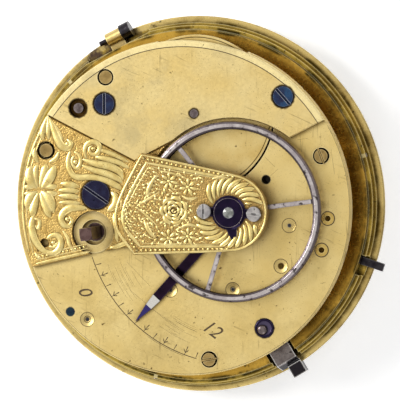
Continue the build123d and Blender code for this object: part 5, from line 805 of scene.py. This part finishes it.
def table_line(inset, half):
    """The table's outline moved in by an inset: its low side, its bowed left side and its top side."""
    sides = (tangent(TABLE_LOW_CORNER, 1), TABLE_LEFT, tangent(TABLE_TOP_CORNER, -1))
    low, left, top = [toward(point, TABLE_INSIDE, inset) for point in sides]
    low_corner = toward(TABLE_LOW_CORNER, TABLE_INSIDE, inset * CORNER_INSET)
    top_corner = toward(TABLE_TOP_CORNER, TABLE_INSIDE, inset * CORNER_INSET)
    bulge = tuple(2 * m - (a + b) / 2 for m, a, b in zip(left, low_corner, top_corner))
    low_side = [low + (half,), low_corner + (half,)]
    left_side = [low_corner + (half,), bulge + (half,), top_corner + (half,)]
    top_side = [top_corner + (half,), top + (half,)]
    return low_side, left_side, top_side


def on_run(run, share):
    """The place this share of the way along a straight run, or along a bow of three points."""
    if len(run) == 2:
        return tuple(a + (b - a) * share for a, b in zip(run[0][:2], run[1][:2]))
    return tuple(a * (1 - share) ** 2 + 2 * b * share * (1 - share) + c * share * share
                 for a, b, c in zip(run[0][:2], run[1][:2], run[2][:2]))


def spaced(run, step):
    """Places along a run of two or three points, a step apart."""
    count = int(apart(on_run(run, 0.0), on_run(run, 1.0)) / step)
    return [on_run(run, k / count) for k in range(count + 1)]


def inside_panel(point):
    """Whether a place is on the foliage panel, clear of its border and of the cap."""
    low_side, left_side, top_side = table_line(1.5, 0.1)
    corners = [low_side[0][:2], low_side[1][:2], left_side[1][:2], top_side[0][:2], top_side[1][:2]]
    clear = apart(point, BALANCE) > TABLE_END_RADIUS + 0.05
    for a, b in zip(corners, corners[1:] + corners[:1]):
        if (b[0] - a[0]) * (point[1] - a[1]) - (b[1] - a[1]) * (point[0] - a[0]) > 0:
            clear = False
    return clear


def toothed_leaf(run):
    """A leaf's rib with short teeth standing out to both sides."""
    start, end = run[0], run[-1]
    along = heading(start, end)
    span = apart(start, end)
    runs = [run]
    for k in range(5):
        base = polar(span * (0.15 + 0.17 * k), along, start)
        for side in (-1, 1):
            tip = polar(0.62 - 0.08 * k, along + side * 48, base)
            runs.append([base + (0.14,), tip + (0.05,)])
    return runs


def gadroons():
    """Curved lobes round the cap, left out under its screws."""
    runs = []
    for k in range(GADROONS):
        start = GADROON_START - GADROON_STEP * k
        run = []
        for radius, turn, half in ((2.3, 0, .14), (2.85, -5, .26), (3.5, -14, .36), (4.15, -25, .28)):
            place = polar(radius, start + turn, BALANCE)
            if all(apart(place, screw) > CAP_SCREW_ROOM + half * 0.5 for screw in CAP_SCREWS):
                run.append(place + (half,))
        if len(run) > 1:
            runs.append(run)
    return runs


def foliage(centres):
    """Small leaves crowded over the panel, springing away from the nearest flower."""
    draw = random.Random(7)
    commas = []
    taken = []
    for _ in range(LEAF_TRIES):
        at = (draw.uniform(-8, 4), draw.uniform(-5, 9))
        turn, length, half = draw.uniform(-55, 55), draw.uniform(0.35, 0.6), draw.uniform(0.14, 0.25)
        bend = draw.uniform(-60, 60)
        near, hub = min((apart(at, centre), centre) for centre in centres)
        crowded = any(apart(at, other) < LEAF_ROOM for other in taken)
        clear = near > FLOWER_ROOM and apart(at, centres[0]) > ROSE_ROOM
        if inside_panel(at) and clear and not crowded:
            taken.append(at)
            angle = heading(hub, at) + turn
            middle = polar(length / 2, angle, at)
            commas.append([polar(-length / 4, angle, at) + (0.05,), middle + (half,),
                           polar(length / 2, angle + bend, middle) + (0.04,)])
    return commas


def table_carving():
    level = TABLE_TOP
    parts = [ridges("table_edge", table_line(0.16, 0.16), level, 0.4),
             ridges("table_band", table_line(0.98, 0.22), level, 0.36),
             ridges("table_inner_edge", table_line(1.36, 0.07), level, 0.5)]
    bead_places = []
    for run in table_line(0.53, 0.1):
        bead_places += spaced(run, 0.57)
    parts.append(beads("table_beads", bead_places, level, 0.19, 0.15))
    end_rim = [polar(TABLE_END_RADIUS - 0.16, angle, BALANCE) + (0.14,) for angle in range(-132, 98, 10)]
    parts.append(ridges("table_end_rim", [end_rim], level, 0.6))
    parts.append(ridges("table_gadroons", gadroons(), level, 0.55))
    rosette = seen_at(ROSETTE_PIXEL, level)
    for count, radius, half, turn, rise in ROSE_RINGS:
        parts.append(ridges("rose_petals", crescents(rosette, count, radius, half, turn), level + rise,
                            0.5))
    swirl = [polar(0.06 + 0.045 * k, 55 * k, rosette) + (0.08,) for k in range(7)]
    parts.append(ridges("rose_heart", [swirl], level + 0.2, 0.6))
    fans = [seen_at(pixel, level) for pixel in FAN_PIXELS]
    for at in fans:
        parts.append(ridges("fan", petals(at, 7, 0.15, 1.1, 0.24, 10.0), level, 0.55))
        parts.append(beads("fan_middle", [at], level, 0.26, 0.2))
    leaves = [from_photo(run, level) for run in TABLE_LEAVES]
    leaf_runs = [part for leaf in leaves[:2] for part in toothed_leaf(leaf)] + leaves[2:]
    parts.append(ridges("table_leaves", leaf_runs, level, 0.55))
    parts.append(ridges("table_foliage", foliage([rosette] + fans), level, 0.6, sides=2))
    return joined("cock_table_carving", parts)


piece("cock_foot_carving", foot_carving(), "frame", chased)
piece("cock_table_carving", table_carving(), "frame", chased)


def lathe_ring(name, at, radius, thickness, level, segments=64):
    """A fine round ring of wire."""
    bm = bmesh.new()
    start = bmesh.ops.create_circle(bm, segments=8, radius=thickness)["verts"]
    bmesh.ops.rotate(bm, verts=start, cent=(0, 0, 0), matrix=Matrix.Rotation(pi / 2, 3, "X"))
    bmesh.ops.translate(bm, verts=start, vec=(radius, 0, 0))
    spun(bm, bm.verts[:] + bm.edges[:], segments, at, level)
    return mesh_of(bm, name)


# Lines and strokes engraved in the plates, with their old blacking, and dark rings and an edge line of painted
# shade

SCALE_RADIUS = 18.5
SCALE_FROM = 170.0
SCALE_TO = 227.5
SCALE_FIRST_MARK = 173.4
SCALE_MARK_STEP = 4.47
SCALE_MARKS = 13
STROKE = 0.05
# Pairs of photograph pixels: the ends of hairlines scribed on the plate when it was laid out
PLATE_HAIRLINES = (((265, 157), (275, 167)), ((270.5, 175.8), (278, 169)), ((297.5, 139.5), (307.5, 138.5)),
                   ((300, 135), (301.5, 152)), ((331, 149), (334.5, 174)), ((127, 262), (150, 286)),
                   ((130, 290), (168, 322)), ((152, 309), (176, 325)), ((120, 270), (131, 290)))
# Places, radii and half widths of fine dark rings: at the edges of sinks and down in holes they are painted
# shade, round the plugs they are the joints
OUTLINES = ((THIRD_WHEEL, 0.86, 0.035), (SECONDS, 0.86, 0.03), (ESCAPE_WHEEL, 0.86, 0.035),
            (LEVER, 0.86, 0.03), (DETENT, 0.86, 0.03), (PLUGS[0], 0.83, 0.055), (PLUGS[1], 0.83, 0.055),
            (SECONDS, 0.32, 0.02), (DETENT, 0.4, 0.03))


def engraving():
    level = TOP_PLATE_TOP
    step = (SCALE_TO - SCALE_FROM) / 12
    runs = [[polar(SCALE_RADIUS, SCALE_FROM + step * k, BALANCE) + (STROKE,) for k in range(13)]]
    runs.append([polar(SCALE_RADIUS + 0.16, angle, BALANCE) + (0.02,)
                 for angle in (207, 211, 215, 219, 223)])
    for k in range(SCALE_MARKS):
        angle = SCALE_FIRST_MARK + SCALE_MARK_STEP * k
        long = 0.3 if k % 2 else 0.0
        inner = polar(SCALE_RADIUS - 0.78 - long, angle + 0.3, BALANCE)
        outer = polar(SCALE_RADIUS - 0.06, angle, BALANCE)
        runs.append([inner + (0.07,), toward(inner, outer, 0.25) + (0.045,), outer + (0.03,)])
        if k % 2:
            for side in (-1, 1):
                wing = polar(SCALE_RADIUS - 0.66, angle + side * 0.95, BALANCE)
                runs.append([wing + (0.06,), polar(SCALE_RADIUS - 0.28, angle + 0.1, BALANCE) + (0.035,)])
    draw = random.Random(3)
    for k in range(16):
        radius, start = draw.uniform(14.6, 17.3), draw.uniform(174, 184) + 30 * (k % 2)
        reach = draw.uniform(7, 15)
        runs.append([polar(radius + 0.05 * turn, start + reach * turn / 3, BALANCE) + (0.01,)
                     for turn in range(4)])
    # A dark line along the top plate's edge: painted shade where the plate's side drops away
    runs.append([polar(20.16, angle) + (0.02,) for angle in range(176, 364, 6)])
    for start, end in PLATE_HAIRLINES:
        runs.append([seen_at(start, level) + (0.012,), seen_at(end, level) + (0.012,)])
    plate = ridges("plate_strokes", runs, level, 0.3, sides=1)
    rim = [[polar(NAME_PLATE_LINE, angle) + (0.05,) for angle in range(4, 119, 6)]]
    name = ridges("name_plate_line", rim, FOOT_TOP, 0.3, sides=1)
    rings = [lathe_ring("outline", at, radius, half, level - (0.1 if radius < 0.6 else 0.0), 40)
             for at, radius, half in OUTLINES]
    return joined("plate_engraving", [plate, name] + rings)


piece("plate_engraving", engraving(), "frame", wax)


def figures(text, size, place, angle, level, up=1, squeeze=1.0, slant=0.0):
    """Flat figures of a height in millimetres, centred on a place and turned about it, facing up or down."""
    curve = bpy.data.curves.new("figures", "FONT")
    curve.body = text
    curve.size = size
    curve.align_x = "CENTER"
    curve.align_y = "CENTER"
    curve.extrude = 0.01
    curve.resolution_u = 3
    curve.shear = slant
    mesh = mesh_of_curve(curve)
    face_down = Matrix.Rotation(pi, 4, "Y") if up < 0 else Matrix.Identity(4)
    turn = Matrix.Rotation(radians(angle), 4, "Z")
    mesh.transform(Matrix.Translation((place[0], place[1], level)) @ turn @ face_down
                   @ Matrix.Diagonal((squeeze, 1, 1, 1)))
    return mesh


def scale_figures():
    """A plain figure at each end of the regulator's scale."""
    first = figures("0", 2.3, seen_at((84, 291), TOP_PLATE_TOP), -88, TOP_PLATE_TOP, slant=0.35)
    last = figures("12", 2.3, seen_at((211, 329), TOP_PLATE_TOP), -63, TOP_PLATE_TOP, slant=0.35)
    return joined("scale_figures", [first, last], False)


piece("scale_figures", scale_figures(), "frame", wax)


# The dial's figures and tracks, laid on its dome

def dial_level(radius):
    """The height of the dial's face at a radius."""
    sphere = (DIAL_FLAT ** 2 + DIAL_RISE ** 2) / (2 * DIAL_RISE)
    if radius >= DIAL_FLAT:
        return -DIAL_THICKNESS + 0.25 * (radius - DIAL_FLAT) / (DIAL_EDGE - DIAL_FLAT)
    return -(sqrt(sphere ** 2 - radius ** 2) - (sphere - DIAL_RISE)) - DIAL_THICKNESS


def laid_on_dial(mesh):
    """The mesh with each point moved down to the dial's dome under it."""
    for vertex in mesh.vertices:
        vertex.co.z += dial_level(hypot(vertex.co.x, vertex.co.y))
    return mesh


INK_RISE = 0.012
HOUR_FIGURES = ("XII", "I", "II", "III", "IIII", "V", "VI", "VII", "VIII", "IX", "X", "XI")


def ring_band(name, at, outer, inner):
    """A flat printed circle."""
    bm = bmesh.new()
    section = ((inner, -INK_RISE), (outer, -INK_RISE), (outer, INK_RISE), (inner, INK_RISE))
    corners = [bm.verts.new((radius, 0, height)) for radius, height in section]
    edges = [bm.edges.new((corners[k], corners[(k + 1) % 4])) for k in range(4)]
    spun(bm, corners + edges, 96, at)
    return mesh_of(bm, name, False)


def bars_round(name, at, outer, inner, half):
    """Sixty short radial bars round a place, with every fifth one wider."""
    bm = bmesh.new()
    for k in range(60):
        wide = half if k % 5 else half * 2.2
        turn = Matrix.Rotation(2 * pi * k / 60 + pi / 2, 3, "Z")
        new = bmesh.ops.create_cube(bm, size=1.0)["verts"]
        bmesh.ops.scale(bm, verts=new, vec=(outer - inner, 2 * wide, 2 * INK_RISE))
        bmesh.ops.translate(bm, verts=new, vec=((outer + inner) / 2, 0, 0))
        bmesh.ops.rotate(bm, verts=new, cent=(0, 0, 0), matrix=turn)
        bmesh.ops.translate(bm, verts=new, vec=(at[0], at[1], 0))
    return mesh_of(bm, name, False)


def dial_printing():
    parts = []
    for k, text in enumerate(HOUR_FIGURES):
        if text == "VI":
            continue
        angle = 90.0 + 30.0 * k
        parts.append(figures(text, 4.6, polar(16.9, angle), angle - 90.0, 0.0, -1, 0.72))
    parts.append(ring_band("outer_track", CENTRE, 20.75, 20.62))
    parts.append(ring_band("inner_track", CENTRE, 19.75, 19.62))
    parts.append(bars_round("minutes", CENTRE, 20.68, 19.68, 0.05))
    parts.append(ring_band("seconds_outer", SECONDS, 4.45, 4.36))
    parts.append(ring_band("seconds_inner", SECONDS, 3.85, 3.76))
    parts.append(bars_round("seconds", SECONDS, 4.4, 3.8, 0.03))
    for text, angle in (("60", 90), ("15", 180), ("30", 270), ("45", 0)):
        parts.append(figures(text, 1.25, polar(3.0, angle, SECONDS), 0.0, 0.0, -1, 0.8))
    return laid_on_dial(joined("dial_printing", parts, False))


piece("dial_printing", dial_printing(), "frame", dial_black)


# Details that stand on the solids

def turned(name, at, profile):
    """A solid turned from (radius, height) points about an upright axis, closed at the axis."""
    bm = bmesh.new()
    points = [bm.verts.new((radius, 0, height)) for radius, height in profile]
    edges = [bm.edges.new(pair) for pair in zip(points, points[1:])]
    spun(bm, points + edges, 48, at)
    return mesh_of(bm, name)


def jewel_facets():
    """The endstone's face: a low dome cut to flat facets."""
    bm = bmesh.new()
    bmesh.ops.create_icosphere(bm, subdivisions=1, radius=0.56)
    bmesh.ops.scale(bm, verts=bm.verts, vec=(1, 1, 0.35))
    bmesh.ops.rotate(bm, verts=bm.verts, cent=(0, 0, 0), matrix=Matrix.Rotation(0.4, 3, "Z"))
    bmesh.ops.translate(bm, verts=bm.verts, vec=(BALANCE[0], BALANCE[1], CAP_TOP - 0.03))
    return mesh_of(bm, "jewel_facets", False)


dish = [(0, 9.06), (0.5, 9.06), (0.8, 9.09), (1.02, 9.17), (1.12, 9.17), (1.14, 9.12), (1.14, 9.0),
        (0, 9.0)]
dish = turned("small_screw_dish", SMALL_SCREW, dish)
piece("small_screw_dish", dish, "frame", violet_steel)
stud = [(0, 9.6), (0.3, 9.59), (0.48, 9.54), (0.56, 9.44), (0.57, 9.02), (0, 9.02)]
stud = turned("small_screw_stud", polar(0.3, 190, SMALL_SCREW), stud)
piece("small_screw_stud", stud, "frame", oiled_steel)
# A light ring on the cap's edge, at the top of its chamfer: a painted highlight
edge_highlight = lathe_ring("cap_edge_highlight", BALANCE, 1.75, 0.025, CAP_TOP)
piece("cap_edge_highlight", edge_highlight, "frame", oiled_steel)
piece("jewel_facets", jewel_facets(), "frame", crystal)


def fusee_ridges():
    """The crests between the turns of the fusee's groove, wound up its cone."""
    base, top, low, height = 6.4, 2.9, 4.5, 2.7
    taper = base / top - 1
    run = []
    turns, steps = 7.5, 28
    for k in range(int(turns * steps) + 1):
        share = 0.03 + 0.94 * k / (turns * steps)
        radius = base / (1 + taper * share)
        angle = 360.0 * k / steps
        run.append(polar(radius, angle, FUSEE) + (low + height * share,))
    curve = bpy.data.curves.new("fusee_ridges", "CURVE")
    curve.dimensions = "3D"
    curve.bevel_depth = 0.06
    curve.bevel_resolution = 1
    curve.use_fill_caps = True
    spline = curve.splines.new("POLY")
    spline.points.add(len(run) - 1)
    for point, (x, y, z) in zip(spline.points, run):
        point.co = (x, y, z, 1.0)
    return mesh_of_curve(curve)


piece("fusee_ridges", fusee_ridges(), "fusee", brass)
